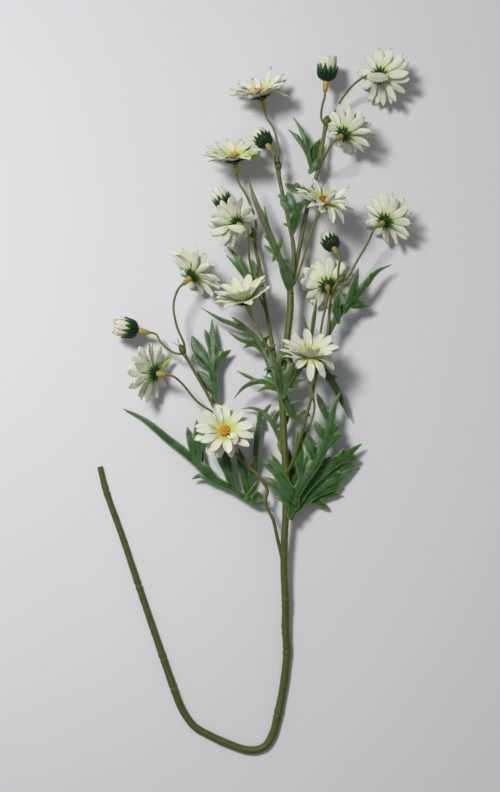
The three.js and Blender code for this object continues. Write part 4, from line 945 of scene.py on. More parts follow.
def leaf_material(look, tone):
    """Satin moulded green with greyish patches of painted sheen, paler along its thin rim and its rib."""
    finish = Finish(f"leaf_{tone}")
    mottle = finish.noise(0.005, 4.0)
    grain = finish.noise(0.0008, 2.0)
    cloud = finish.noise(0.011, 3.0)
    green = getattr(look, tone)
    body = finish.blend(finish.ramp(mottle, [(0.38, 0.7), (0.58, 0.0)]), opaque(green), opaque(green, 0.38))
    # Greyish patches at random: painted sheen on the satin plastic
    body = finish.blend(finish.ramp(cloud, [(0.48, 0.0), (0.64, 0.55)]), body, opaque(look.bloom))
    body = finish.blend(finish.mark("rib") * 0.16 + finish.mark("out") * 0.07, body, opaque(look.rim))
    body = finish.blend(finish.mark("rim") * (0.35 + 0.75 * mottle), body, opaque(look.rim))
    finish.set(Base_Color=body, Roughness=0.26 + 0.2 * mottle, Specular_IOR_Level=0.24)
    finish.relief(mottle * 0.8 + grain * 0.25, 0.0003)
    return finish.material


def calyx_material(look):
    """Dark moulded green that brightens towards the sepals' tips."""
    finish = Finish("calyx_plastic")
    mottle = finish.noise(0.0022, 3.0)
    bright = finish.mark("tip") * (0.5 + 0.7 * mottle)
    finish.set(Base_Color=finish.blend(bright, opaque(look.dark), opaque(look.tip)))
    finish.set(Roughness=0.3 + 0.22 * mottle, Specular_IOR_Level=0.25)
    finish.relief(mottle, 0.0002)
    return finish.material


def disc_material(look):
    """Stamens from amber at their feet to orange or gold at their heads, brown or pale on some discs."""
    finish = Finish("disc_plastic")
    head = finish.mark("head")
    mottle = finish.noise(0.0016, 2.0)
    gold = finish.ramp(finish.noise(0.004, 2.0), [(0.36, 0.15), (0.56, 0.85)])
    body = finish.blend(head * (0.75 + 0.5 * mottle), opaque(look.amber), opaque(look.orange))
    body = finish.blend(gold * head, body, opaque(look.gold))
    body = finish.blend(finish.mark("brown") * (0.5 + 0.5 * mottle), body, opaque(look.brown))
    body = finish.blend(finish.mark("pale") * (0.6 + 0.5 * mottle), body, opaque(look.pale))
    finish.set(Base_Color=body, Roughness=0.5 + 0.2 * mottle)
    finish.relief(mottle, 0.0001)
    return finish.material


def collar_material(look):
    """Waxy yellow plastic with a greener foot."""
    finish = Finish("collar_plastic")
    mottle = finish.noise(0.0025, 3.0)
    red, green, blue = look.collar
    foot = finish.mark("head") * (0.4 + 0.6 * mottle)
    finish.set(Base_Color=finish.blend(foot, opaque(look.collar), (red * 0.38, green * 0.50, blue, 1.0)))
    finish.set(Roughness=0.3 + 0.2 * mottle, Subsurface_Weight=0.15, Subsurface_Scale=0.001)
    finish.relief(mottle, 0.00015)
    return finish.material


def floor_material(look):
    """Plain pale surface, hardly uneven."""
    finish = Finish("floor_paint")
    cloud = finish.noise(0.05, 2.0)
    finish.set(Base_Color=finish.blend(cloud * 0.25, opaque(look.floor), opaque(look.floor, 0.93)))
    finish.set(Roughness=0.7)
    return finish.material


def petal_half_width(share, widest, pointed):
    """Half width of a petal from its hub end (0) to its tip (1), its tip round (0) to pointed (1)."""
    at_hub, tip_from = PETAL_OUTLINE["at_hub"], PETAL_OUTLINE["tip_from"]
    body = at_hub + (1 - at_hub) * ease(share * 2)
    toward_tip = np.clip((share - tip_from) / (1 - tip_from), 0, 1)
    round_tip = np.sqrt(np.clip(1 - toward_tip ** PETAL_OUTLINE["round"], 0, 1))
    sharp_tip = 1 - toward_tip ** PETAL_OUTLINE["sharp"]
    return widest * body * np.maximum(round_tip + (sharp_tip - round_tip) * pointed, PETAL_OUTLINE["least"])


def bent(out, spot, bend):
    """Share of a bend that is done, so far out along a petal that bends about the spot given."""
    before, run = bend
    return ease((out - spot + before) / run)


def petal_slope(draw, out, slopes):
    """Slope in radians along a petal, so far out past its hub: inner, then outer, with a droop at its tip."""
    first, second = slopes
    middle, tip = PETALS["inner"], PETALS["inner"] + PETALS["outer"]
    slope = first * bent(out, 0, HUB_BEND) + (second - first) * bent(out, middle, MIDDLE_BEND)
    return np.radians(slope + draw.normal(*TIP_DROOP) * bent(out, tip, TIP_BEND))


def creases(cross, draw):
    """Waves across a petal, from one edge (-1) to the other (1)."""
    return np.cos(cross * math.pi * CREASES["across"] + draw.uniform(-0.5, 0.5))


def petal_ripples(draw, cross, free, distance, gutter):
    """How far the fabric stands off a petal's middle: its gutter, its creases and its ruffled edges."""
    valley = gutter * (1 + draw.normal(0, PETAL_VARIES["gutter"])) * cross**2
    crease = CREASES["depth"] * creases(cross, draw)
    left, right = draw.uniform(0, 2 * math.pi, 2)
    wave = np.sin(distance * RUFFLES["pace"] + np.where(cross > 0, left, right))
    return free * (valley + crease + RUFFLES["depth"] * np.abs(cross) ** 3 * wave)


def add_fabric(shape, middle, facing, look, **marks):
    """Adds fabric on both sides of its middle points, a way of facing given for each row of them."""
    offset = facing[:, None] * look.thickness / MM / 2
    add_sheet(shape, middle + offset, middle - offset, **marks)


def add_petal(shape, draw, height, slopes, angle, widest, ragged, lime, look):
    """Adds one fabric petal, from inside the hub out to its round or ragged tip."""
    rows, columns = PETAL_GRID
    root, hub_run = PETALS["root"], PETALS["hub"] - PETALS["root"]
    reach = PETALS["inner"] + PETALS["outer"] + PETALS["tip"] + draw.normal(0, PETAL_VARIES["reach"])
    distance = np.linspace(0, hub_run + reach, rows)
    share = distance / distance[-1]
    out = distance - hub_run
    slope = petal_slope(draw, out, slopes)
    radius = root + np.concatenate([[0], np.cumsum(np.cos(slope[1:]) * distance[1])])
    lift = height + np.concatenate([[0], np.cumsum(np.sin(slope[1:]) * distance[1])])
    pointed = min(1.0, draw.uniform(0, 0.35) + ragged * draw.uniform(0.3, 1))
    half = petal_half_width(np.clip(out / reach, 0, 1), widest, pointed)
    sector = radius * math.tan(math.pi / PETALS["count"])
    half = np.where(out < 0, sector, np.minimum(half, sector + out * PETALS["spread"]))
    sway = draw.normal(0, PETAL_VARIES["sway"]) * share**2
    twist = ((PETALS["overlap"] + draw.normal(0, PETAL_VARIES["twist"])) * ease(share * 1.6))[:, None]
    outward, sideways = out_and_round(angle)
    centre = radius[:, None] * outward + sway[:, None] * sideways + lift[:, None] * UP
    tangent = np.cos(slope)[:, None] * outward + np.sin(slope)[:, None] * UP
    normal = np.cross(tangent, sideways)
    turned = sideways * np.cos(twist) + normal * np.sin(twist)
    facing = normal * np.cos(twist) - sideways * np.sin(twist)
    cross = np.linspace(-1, 1, columns)
    free = ease(out / PETALS["free_after"])[:, None]
    raised = petal_ripples(draw, cross, free, distance[:, None], look.gutter / MM)
    nick = (NICKS["smooth"] + NICKS["ragged"] * ragged) * draw.normal(0, PETAL_VARIES["nick"], columns)
    nick = nick * ease((share - NICKS["from"]) / NICKS["run"])[:, None]
    across = half[:, None] * cross
    middle = centre[:, None] + turned[:, None] * across[..., None]
    middle = middle + facing[:, None] * raised[..., None] + tangent[:, None] * nick[..., None]
    along = np.clip((root + distance) / PETALS["marked_over"], 0, 1)[:, None]
    add_fabric(shape, middle, facing, look, out=along, across=across, petal=draw.uniform(0, 50), lime=lime)


def add_turned_petal(shape, draw, laid, to_eye, look):
    """Adds a petal that has turned over, along points laid in the bloom's own coordinates."""
    route = Route(laid, STEPS["turned"])
    tangent = unit(np.gradient(route.points, axis=0))
    sideways = unit(np.cross(tangent, to_eye))
    facing = np.cross(sideways, tangent)
    cross = np.linspace(-1, 1, TURNED_COLUMNS)
    across = petal_half_width(route.share, TURNED["half_width"], TURNED["pointed"])[:, None] * cross
    crown = TURNED["crease"] * creases(cross, draw) - TURNED["crown"] * cross**2
    raised = crown * ease(route.share * 3)[:, None]
    middle = route.points[:, None] + sideways[:, None] * across[..., None]
    middle = middle + facing[:, None] * raised[..., None]
    out = (0.5 + 0.4 * route.share)[:, None]
    add_fabric(shape, middle, facing, look, out=out, across=across, petal=7.0, lime=0.0)


def toward_eye(bloom, layer_index, petal):
    """How far a petal points up at the eye (1) or down (-1)."""
    angle = (petal + LAYERS[layer_index]["turn"]) / PETALS["count"] * 2 * math.pi
    return flower_frame(bloom)[2, :2] @ np.array([math.cos(angle), math.sin(angle)])


def petal_slopes(layer_index, petal, bloom, draw):
    """Inner and outer slope of a petal in degrees."""
    rise = LAYERS[layer_index]["rise"] + bloom.get("cup", 0) + draw.normal(0, PETAL_VARIES["rise"])
    rise -= bloom.get("lean", 0) * max(0.0, toward_eye(bloom, layer_index, petal)) * layer_index
    outer = rise - OUTER_DROP + draw.normal(0, PETAL_VARIES["outer"])
    for which, number, inner_slope, outer_slope in bloom.get("bent", []):
        if (which, number) == (layer_index, petal):
            return inner_slope, outer_slope
    return rise, outer


def add_layer(shape, draw, index, bloom, look):
    """Adds a layer of a bloom's petals, but for one that has turned over, on its holed washer."""
    layer, count = LAYERS[index], PETALS["count"]
    for petal in range(count):
        if bloom.get("turned", {}).get("petal") == [index, petal]:
            continue
        slopes = petal_slopes(index, petal, bloom, draw)
        angle = (petal + layer["turn"] + draw.normal(0, PETAL_VARIES["turn"])) / count * 2 * math.pi
        widest = PETALS["half_width"] * (1 + draw.normal(0, PETAL_VARIES["width"])) * bloom.get("narrow", 1.0)
        lime = 1.0 if [index, petal] in bloom.get("lime", []) else bloom.get("tint", 0.0)
        add_petal(shape, draw, layer["height"], slopes, angle, widest, bloom.get("ragged", 0.1), lime, look)
    washer = [(radius, layer["height"] + height) for radius, height in WASHER]
    add_lathe(shape, washer, SIDES["hub"], out=0.1, front=float(index), lime=0.0, across=0.0, petal=0.0)


def bloom_petals(bloom, number, look, material):
    """Both layers of a bloom's petals."""
    draw = np.random.default_rng(SEEDS["petals"] + number)
    shape = Shape()
    if "turned" in bloom:
        add_turned_petal(shape, draw, bloom["turned"]["route"], flower_frame(bloom)[2, :3], look)
    for index in range(len(LAYERS)):
        add_layer(shape, draw, index, bloom, look)
    name = f"bloom_{number:02d}_petals"
    shape.piece(f"Petals_{number:02d}", material, [name], flower_frame(bloom))


def add_sepal(shape, path, half_width, angle):
    """Adds one pointed, keeled sepal from (radius, height) pairs along its middle."""
    rows, columns = SEPAL_GRID
    share = np.linspace(0, 1, rows)
    radius, height = (np.interp(share, np.linspace(0, 1, len(path)), values) for values in zip(*path))
    cross = np.linspace(-1, 1, columns)
    across = (half_width * np.clip((1 - share) ** 0.75, 0.06, 1))[:, None] * cross
    outward, sideways = out_and_round(angle)
    run = unit(np.stack([np.gradient(radius), np.gradient(height)], axis=1))
    normal = (run[:, :1] * UP - run[:, 1:] * outward)[:, None]
    centre = radius[:, None] * outward + height[:, None] * UP
    middle = centre[:, None] + sideways * across[..., None]
    thin = CALYX["thickness"] * (1 - 0.55 * share)[:, None] / 2 * np.ones(columns)
    keel = CALYX["keel"] * (1 - np.abs(cross)) * (1 - share[:, None] * 0.7)
    top, bottom = middle + normal * thin[..., None], middle - normal * (thin + keel)[..., None]
    add_sheet(shape, top, bottom, tip=share[:, None])


def bloom_calyx(bloom, number, material):
    """Star of slender sepals on a stout ribbed hub."""
    draw = np.random.default_rng(SEEDS["calyx"] + number)
    shape = Shape()
    count = CALYX["sepals"]

    def ribs(angles, heights):
        return 1 + 0.045 * np.cos(angles * count) * (heights > 0.2)

    add_lathe(shape, CALYX_CONE, count * 4, ribs, tip=0.0)
    for k in range(count):
        angle = (k + draw.normal(0, SEPAL_VARIES["turn"])) / count * 2 * math.pi
        tip = (CALYX["reach"] + draw.normal(0.3, 0.7), CALYX["tip_height"] + draw.normal(0.2, 0.3))
        half_width = CALYX["half_width"] + draw.normal(0, SEPAL_VARIES["width"])
        add_sepal(shape, [*SEPAL_PATH, tip], half_width, angle)
    name = f"bloom_{number:02d}_calyx"
    shape.piece(f"Calyx_{number:02d}", material, [name], flower_frame(bloom))


def add_stamens(shape, draw, count, oval, kind):
    """Adds the stamens of a disc, from its middle outwards, each leaning a little out."""
    golden = math.pi * (3 - math.sqrt(5))
    for k in range(count):
        share = math.sqrt((k + 0.5) / count)
        radius = DISC["radius"] * 0.97 * share * (1 - oval * math.cos(2 * k * golden))
        angle = k * golden + draw.normal(0, STAMEN_VARIES["turn"])
        foot = DISC["top"] - STAMEN["sunk"] - STAMEN["sunk_rim"] * share**2
        tall = STAMEN["tall"] + draw.normal(0, STAMEN_VARIES["tall"]) - STAMEN["rim_shorter"] * share
        tall = max(STAMEN["least"], tall)
        lean = STAMEN["lean"] + STAMEN["splay"] * share + draw.normal(0, STAMEN_VARIES["lean"])
        outward, _ = out_and_round(angle)
        start = outward * (radius - 0.15) + UP * foot
        end = start + (outward * math.sin(lean) + UP * math.cos(lean)) * tall
        route = Route([start, (start + end) / 2, end], tall / 3)
        steps = np.linspace(0, 1, len(route.points))
        head = (0.15 + 0.85 * steps) ** 1.2
        add_tube(shape, route, follow(steps, STAMEN_PROFILE), SIDES["stamen"], head=head, **kind)


def bloom_disc(bloom, number, look, material):
    """Disc of stamens and the shaft that holds the bloom's layers together."""
    draw = np.random.default_rng(SEEDS["disc"] + number)
    shape = Shape()
    radius, base, top, shaft = DISC["radius"], DISC["base"], DISC["top"], DISC["shaft"]
    oval = bloom.get("oval", 0.04)
    kind = {"brown": bloom.get("brown", 0.0), "pale": bloom.get("pale", 0.0)}
    dome = [
        (shaft, 0.0), (shaft, base - 0.1), (radius * 0.86, base), (radius * 0.95, top - 2.3),
        (radius * 0.9, top - 1.7), (radius * 0.6, top - 1.05), (radius * 0.25, top - 0.85),
    ]

    def squeezed(angles, heights):
        return 1 - oval * np.cos(2 * angles) * (heights > base)

    add_lathe(shape, dome, SIDES["disc"], squeezed, head=0.1, **kind)
    add_stamens(shape, draw, look.stamens, oval, kind)
    for laid in bloom.get("strays", []):
        route = Route(laid, STEPS["bit"])
        add_tube(shape, route, np.linspace(0.34, 0.24, len(route.points)), SIDES["stray"], head=0.9)
    name = f"bloom_{number:02d}_centre"
    shape.piece(f"Disc_{number:02d}", material, [name], flower_frame(bloom))


def collar(flower, name, replaced, material):
    """Tapered collar that carries a bloom or a bud on its pedicel."""
    shape = Shape()
    tall, wide, narrow = COLLAR["length"], COLLAR["radius"], COLLAR["end_radius"]
    profile = [
        (narrow * 0.72, -tall - 0.2), (narrow * 0.98, -tall), (narrow * 1.08, -tall + 0.7),
        (narrow * 1.12, -tall + 2.0), (wide * 0.93, -tall * 0.5), (wide * 1.02, -tall * 0.3),
        (wide * 1.04, -1.1), (wide * 0.98, -0.4), (wide * 0.8, -0.05),
    ]
    down = [min(1.0, max(0.0, -height / tall)) for _, height in profile]
    foot = np.concatenate([np.repeat(down, SIDES["collar"]), [down[0], down[-1]]])
    add_lathe(shape, profile, SIDES["collar"], head=foot**1.3)
    shape.piece(name, material, replaced, flower_frame(flower))


def add_bud_sepal(shape, draw, number):
    """Adds one sepal of a bud's cup, joined to its neighbours low down and free towards its tip."""
    rows, columns = BUD_SEPAL_GRID
    free_from = BUD["free_from"]
    tip = BUD["sepal_tip"] + draw.normal(0, 0.5)
    level = tip * np.linspace(0.0, 1.0, rows)[:, None] ** 1.25
    flare = draw.normal(0.15, 0.25) * ease((level - 6) / 5)
    free = np.clip((level - free_from) / (tip - free_from), 0, 1)
    half_angle = math.pi / BUD["sepals"] * np.clip(1 - free**1.2, 0.05, 1)
    cross = np.linspace(-1, 1, columns)
    angle = (number + 0.5) / BUD["sepals"] * 2 * math.pi + half_angle * cross
    ridge = 0.38 * (1 - np.abs(cross)) * ease(level / 3) - 0.12 * np.abs(cross) ** 4
    outer = follow(level, BUD_BOWL) + flare + ridge
    inner = np.maximum(outer - BUD["wall"] * (1 - 0.5 * free) - ridge, 0.3)
    inner_level = np.minimum(level + 0.45 * (1 - level / tip), tip)
    top = polar(outer, angle, level)
    back = polar(inner, angle, inner_level)
    add_sheet(shape, top[:, ::-1], back[:, ::-1], tip=free)


def bud_calyx(bud, number, material):
    """Cup of pointed sepals round a bud."""
    draw = np.random.default_rng(SEEDS["bud_calyx"] + number)
    shape = Shape()
    for k in range(BUD["sepals"]):
        add_bud_sepal(shape, draw, k)
    add_lathe(shape, BUD_FLOOR, SIDES["bud"], tip=0.0)
    shape.piece(f"Bud_Calyx_{number}", material, [f"bud_{number}_calyx"], flower_frame(bud))


def add_bud_petal(shape, draw, angle, widest, bulge, top, look):
    """Adds one petal of a bud, curved up round its heart and in at its tip."""
    rows, columns = BUD_PETAL_GRID
    share = np.linspace(0, 1, rows)[:, None]
    foot, foot_width = BUD_PETAL["foot"], BUD_PETAL["foot_width"]
    level = BUD["petal_start"] + (top - BUD["petal_start"]) * share
    fullness = foot + (1 - foot) * ease(share * 1.5) + draw.normal(0, BUD_PETAL_VARIES["bulge"]) * share
    closed = ease((share - BUD_PETAL["closes_from"]) / BUD_PETAL["closes_run"])
    radius = bulge * fullness - bulge * draw.uniform(*BUD_PETAL["closes"]) * closed
    toward_tip = np.clip((share - BUD_PETAL["tip_from"]) / BUD_PETAL["tip_run"], 0, 1)
    round_tip = np.sqrt(np.clip(1 - toward_tip ** BUD_PETAL["round"], 0.02, 1))
    half = widest * (foot_width + (1 - foot_width) * ease(share * 2)) * round_tip
    cross = np.linspace(-1, 1, columns)
    curl = draw.uniform(*BUD_PETAL["curl"])
    lean = draw.normal(0, BUD_PETAL_VARIES["lean"]) * share
    spread = angle + lean + half * cross / np.maximum(radius, 1.6) * curl
    ripple = BUD_PETAL["ripple"] * np.cos(cross * math.pi * 2 + draw.uniform(0, 6)) * ease(share * 2)
    tuck = BUD_PETAL["tuck"] * cross**2 * draw.uniform(0.2, 1.2) * ease(share * 1.5)
    outer = radius + ripple - tuck
    nick = draw.normal(0, BUD_PETAL_VARIES["nick"], columns) * ease((share - 0.7) / 0.3)
    height = level - 0.5 * cross**2 * share + nick
    front = polar(outer, spread, height)[:, ::-1]
    back = polar(outer - look.thickness / MM, spread, height)[:, ::-1]
    out = 0.30 + 0.55 * share
    add_sheet(shape, front, back, petal=draw.uniform(0, 50), out=out, across=half * cross, lime=0.0)


def bud_petals(bud, number, look, material):
    """Closed white petals that fill a bud's cup."""
    draw = np.random.default_rng(SEEDS["bud_petals"] + number)
    shape = Shape()

    def lumps(angles, heights):
        return 1 + 0.05 * np.cos(angles * 7 + heights)

    varies = BUD_PETAL_VARIES
    add_lathe(shape, BUD_HEART, SIDES["heart"], lumps, out=0.5)
    for ring in BUD_RINGS:
        for k in range(ring["count"]):
            angle = (k + ring["turn"] + draw.normal(0, varies["turn"])) / ring["count"] * 2 * math.pi
            widest = BUD["petal_width"] * (1 + draw.normal(0, varies["width"]))
            top = ring["top"] + draw.normal(0, varies["top"])
            add_bud_petal(shape, draw, angle, widest, ring["bulge"], top, look)
    shape.piece(f"Bud_Petals_{number}", material, [f"bud_{number}_petals"], flower_frame(bud))


def stem_relief(ridges, depth, draw):
    """Relief round a stem: shallow ridges along it, two raised mould lines, and slow unevenness."""
    phases = draw.uniform(0, 2 * math.pi, 3)
    (slow_depth, slow_pace), (fine_depth, fine_pace) = SLOW_WAVE, FINE_WAVE

    def radius_share(angles, distance):
        ribbing = depth * np.cos(ridges * angles + phases[0])
        mould = MOULD_LINE["height"] * bump(np.sin(angles), MOULD_LINE["width"]) * np.cos(angles) ** 2
        slow = slow_depth * np.sin(distance / slow_pace + phases[1])
        fine = fine_depth * np.sin(distance / fine_pace + 2 * angles + phases[2])
        return 1 + ribbing + mould + slow + fine

    return radius_share


def add_moulding(shape, kind, route, radii, sides, relief, risen):
    """Adds a stalk's tube, marked with how fresh its green is and with its two mould lines."""
    lines = bump(np.sin(turns(sides)), MOULD_LINE["marked_width"])[None, :] * np.ones((len(radii), 1))
    start, gain = FRESH[kind]
    add_tube(shape, route, radii, sides, relief, fresh=start + gain * ease(risen), ridge=lines)


def swollen(route, swells):
    """How much stouter a stalk is at its start and its end."""
    (first, first_width), (last, last_width) = swells
    at_start, at_end = bump(route.distance, first_width), bump(route.length - route.distance, last_width)
    return 1 + first * at_start + last * at_end


def add_main_stem(shape, draw, sides):
    """Adds the main stem with its waists, from the cut end to the three-way fork."""
    route = Route(MAIN_STEM, STEPS["stem"])
    knots = route.knots
    leaves_at, clear_at = knots[list(STEM_LEAVES)]
    grooves_from, grooves_to = knots[list(STEM_GROOVES)]
    radii = np.interp(route.distance, knots[list(STEM_RADII)], list(STEM_RADII.values()))
    lying = ease((clear_at - route.distance) / (clear_at - leaves_at))
    route.points[:, 2] -= (STEM_RADIUS - radii) * lying * LYING_SHARE
    for waist in STEM_WAISTS:
        away = route.distance - knots[waist]
        swelling = WAIST["swell"] * bump(np.abs(away) - WAIST["apart"], WAIST["width"])
        radii = radii * (1 + swelling - WAIST["pinch"] * bump(away, WAIST["pinch_width"]))
    grooved = ease((route.distance - grooves_from) / (grooves_to - grooves_from))
    count, depth = RIDGES["stem"]
    relief = stem_relief(count, (depth + GROOVES_ADD * grooved)[:, None], draw)
    risen = (route.distance - leaves_at) / (route.length - leaves_at)
    add_moulding(shape, "stem", route, radii, sides, relief, risen)


def add_spray(shape, spray, draw):
    """Adds one side branch, stouter where it leaves its parent, with its closed knob."""
    route = Route(spray["route"], STEPS["spray"])
    radii = np.interp(route.share, [0, 1], spray["radius"]) * swollen(route, SPRAY_SWELLS)
    for knot in route.knots[2:-1:2]:
        away = np.abs(route.distance - knot) - KNUCKLE["apart"]
        radii = radii * (1 + KNUCKLE["swell"] * bump(away, KNUCKLE["width"]))
    relief = stem_relief(*RIDGES["spray"], draw)
    add_moulding(shape, "spray", route, radii, SIDES["spray"], relief, route.share)
    add_knob(shape, spray["route"][-1], spray["knob"])


def add_knob(shape, start, toward):
    """Adds the small closed knob of a fork, like a tiny bud of overlapping scales."""
    start = np.array(start, float)
    along = unit(np.array(toward, float) - start) * KNOB["length"]
    route = Route([start, start + along / 2, start + along], STEPS["knob"])
    radii = KNOB["radius"] * follow(route.share, KNOB_PROFILE)

    def scales(angles, distance):
        return 0.95 + 0.08 * np.abs(np.sin(angles * 2.5 + distance * 0.5))

    fresh = 0.30 - 0.2 * route.share
    add_tube(shape, route, radii, SIDES["knob"], scales, fresh=fresh, ridge=0.1 * route.share)


def add_pedicel(shape, flower, draw):
    """Adds the thin stalk that swings in line with its flower and ends in its collar."""
    straight, end = COLLAR["length"] + COLLAR["straight"], COLLAR["length"] - COLLAR["on_pedicel"]
    laid = [*flower["from"], behind_flower(flower, straight), behind_flower(flower, end)]
    route = Route(laid, STEPS["pedicel"])
    radii = PEDICEL_RADIUS * swollen(route, PEDICEL_SWELLS)
    relief = stem_relief(*RIDGES["pedicel"], draw)
    add_moulding(shape, "pedicel", route, radii, SIDES["pedicel"], relief, route.share)


def add_bit(shape, bit, sides):
    """Adds a short straight taper between two points."""
    start, end = bit["ends"]
    route = Route([start, np.mean(bit["ends"], axis=0), end], bit["step"])
    radii = np.linspace(*bit["radius"], len(route.points))
    add_tube(shape, route, radii, sides, fresh=bit["fresh"], ridge=bit["ridge"])


class LeafSheet:
    """One moulded sheet of a leaf: a height field over the joined outline of its lobes, in millimetres."""

    BLEND = 0.42
    MARGIN = 3.0
    ROUNDED = 0.4
    TILT = 0.12
    FOLD = 0.12
    GROOVE_WIDTH, RIB_WIDTH, RIM_WIDTH = 0.3, 0.34, 0.55
    # Share of its width that a lobe has at even steps along it, with a sharp or a blunt tip
    WIDTHS = {"sharp": [0.6, 0.92, 1.05, 0.95, 0.6, 0.06], "blunt": [0.6, 0.95, 1.12, 1.14, 0.92, 0.15]}

    def __init__(self, lobes, tips, cell, thickness, draw):
        self.profile = self.WIDTHS[tips]
        self.cell = cell
        self.thickness = thickness
        routes = [Route(seen(lobe[1:]), STEPS["lobe"]) for lobe in lobes]
        widths = [lobe[0] * SEEN_SCALE for lobe in lobes]
        every = np.vstack([route.points for route in routes])[:, :2]
        margin = max(widths) * 1.15 + self.MARGIN
        low = every.min(0) - margin
        size = np.ceil((every.max(0) + margin - low) / cell).astype(int) + 1
        self.x, self.y = (start + np.arange(count) * cell for start, count in zip(low, size))
        self.total = np.zeros(size)
        self.sums = {name: np.zeros(size) for name in ("height", "rib", "out")}
        for route, width in zip(routes, widths):
            self._lay(route, width, draw.normal(0, self.TILT))
        weight = np.maximum(self.total, 1e-12)
        self.depth = self.BLEND * np.log(weight)
        self.fields = {name: (total / weight).ravel() for name, total in self.sums.items()}

    def _lay(self, route, width, tilt):
        """Adds one lobe's share to the outline, the height and the marks."""
        half = width * np.interp(route.share, np.linspace(0, 1, len(self.profile)), self.profile)
        flat = route.points[:, :2]
        room = width + self.MARGIN
        i0, i1 = np.searchsorted(self.x, [flat[:, 0].min() - room, flat[:, 0].max() + room])
        j0, j1 = np.searchsorted(self.y, [flat[:, 1].min() - room, flat[:, 1].max() + room])
        here = np.stack(np.meshgrid(self.x[i0:i1], self.y[j0:j1], indexing="ij"), axis=-1)
        away = here[:, :, None, :] - flat
        distance = np.sqrt((away**2).sum(-1))
        closest = distance.argmin(-1)
        tangent = unit(np.gradient(flat, axis=0))[closest]
        offset = np.take_along_axis(away, closest[..., None, None], 2)[:, :, 0]
        side = tangent[..., 0] * offset[..., 1] - tangent[..., 1] * offset[..., 0]
        reach = np.clip(np.abs(side) / np.maximum(half[closest], 0.5), 0, 1.3)
        along = route.share[closest]
        groove = self.FOLD * bump(side, self.GROOVE_WIDTH) * (1 - along)
        height = route.points[closest, 2] - self.FOLD * half[closest] * reach**2 - groove + tilt * side
        weight = np.exp(np.clip((half - distance).max(-1) / self.BLEND, -60, 60))
        spot = (slice(i0, i1), slice(j0, j1))
        self.total[spot] += weight
        self.sums["height"][spot] += weight * height
        self.sums["rib"][spot] += weight * bump(side, self.RIB_WIDTH) * (1 - 0.7 * along)
        self.sums["out"][spot] += weight * along

    def add_to(self, shape):
        """Adds the sheet to a leaf's shape: its top and bottom meet along the outline."""
        faces = self._faces()
        used = np.zeros(self.depth.size, bool)
        used[np.concatenate(faces)] = True
        edge = self._edge(faces)
        under = used & ~edge
        rounding = np.sqrt(np.clip(self.depth / self.ROUNDED, 0, 1)).ravel()
        half = np.where(edge, 0, self.thickness / 2 * (0.12 + 0.88 * rounding))
        flat = self._snapped(edge)
        height = self.fields["height"]
        top_number = np.cumsum(used) - 1
        bottom_number = np.where(under, used.sum() + np.cumsum(under) - 1, top_number)
        top = np.column_stack([flat[used], (height + half)[used]])
        bottom = np.column_stack([flat[under], (height - half)[under]])
        both_faces = [top_number[face] for face in faces] + [bottom_number[face][::-1] for face in faces]
        rim = bump(np.maximum(self.depth.ravel(), 0), self.RIM_WIDTH)
        marks = {"rim": rim, "rib": self.fields["rib"], "out": self.fields["out"]}
        both = {name: np.concatenate([value[used], value[under]]) for name, value in marks.items()}
        shape.add(np.vstack([top, bottom]), both_faces, **both)

    def _faces(self):
        """Squares of the grid inside the outline, and triangles where one corner is outside."""
        kept = self.depth > -0.5 * self.cell
        rows, columns = kept.shape
        number = np.arange(kept.size).reshape(rows, columns)
        corners = [(0, 0), (1, 0), (1, 1), (0, 1)]
        windows = [(slice(a, rows - 1 + a), slice(b, columns - 1 + b)) for a, b in corners]
        inside = np.stack([kept[window] for window in windows], axis=-1)
        numbers = np.stack([number[window] for window in windows], axis=-1)
        count = inside.sum(-1)
        triangles = [face[keep] for face, keep in zip(numbers[count == 3], inside[count == 3])]
        return [*numbers[count == 4], *triangles]

    def _edge(self, faces):
        """Which points lie on the outline: those of every side that one face alone has."""
        uses = {}
        for face in faces:
            for pair in zip(face.tolist(), np.roll(face, -1).tolist()):
                key = tuple(sorted(pair))
                uses[key] = uses.get(key, 0) + 1
        edge = np.zeros(self.depth.size, bool)
        edge[[point for key, times in uses.items() if times == 1 for point in key]] = True
        return edge

    def _snapped(self, edge):
        """Grid points, those of the outline moved onto it."""
        x, y = np.meshgrid(self.x, self.y, indexing="ij")
        slope_x, slope_y = np.gradient(self.depth, self.cell)
        steep = np.maximum(slope_x**2 + slope_y**2, 0.2)
        move = np.clip(np.where(edge.reshape(x.shape), -self.depth / steep, 0), -self.cell, self.cell)
        return np.stack([x + slope_x * move, y + slope_y * move], axis=-1).reshape(-1, 2)


def leaf(name, number, look, material):
    """One leaf, of one or more moulded sheets."""
    draw = np.random.default_rng(SEEDS["leaf"] + number)
    shape = Shape()
    for lobes in LEAVES[name]["sheets"]:
        LeafSheet(lobes, LEAVES[name]["tips"], look.cell / MM, look.thickness / MM, draw).add_to(shape)
    shape.piece(name.title(), material, [name])


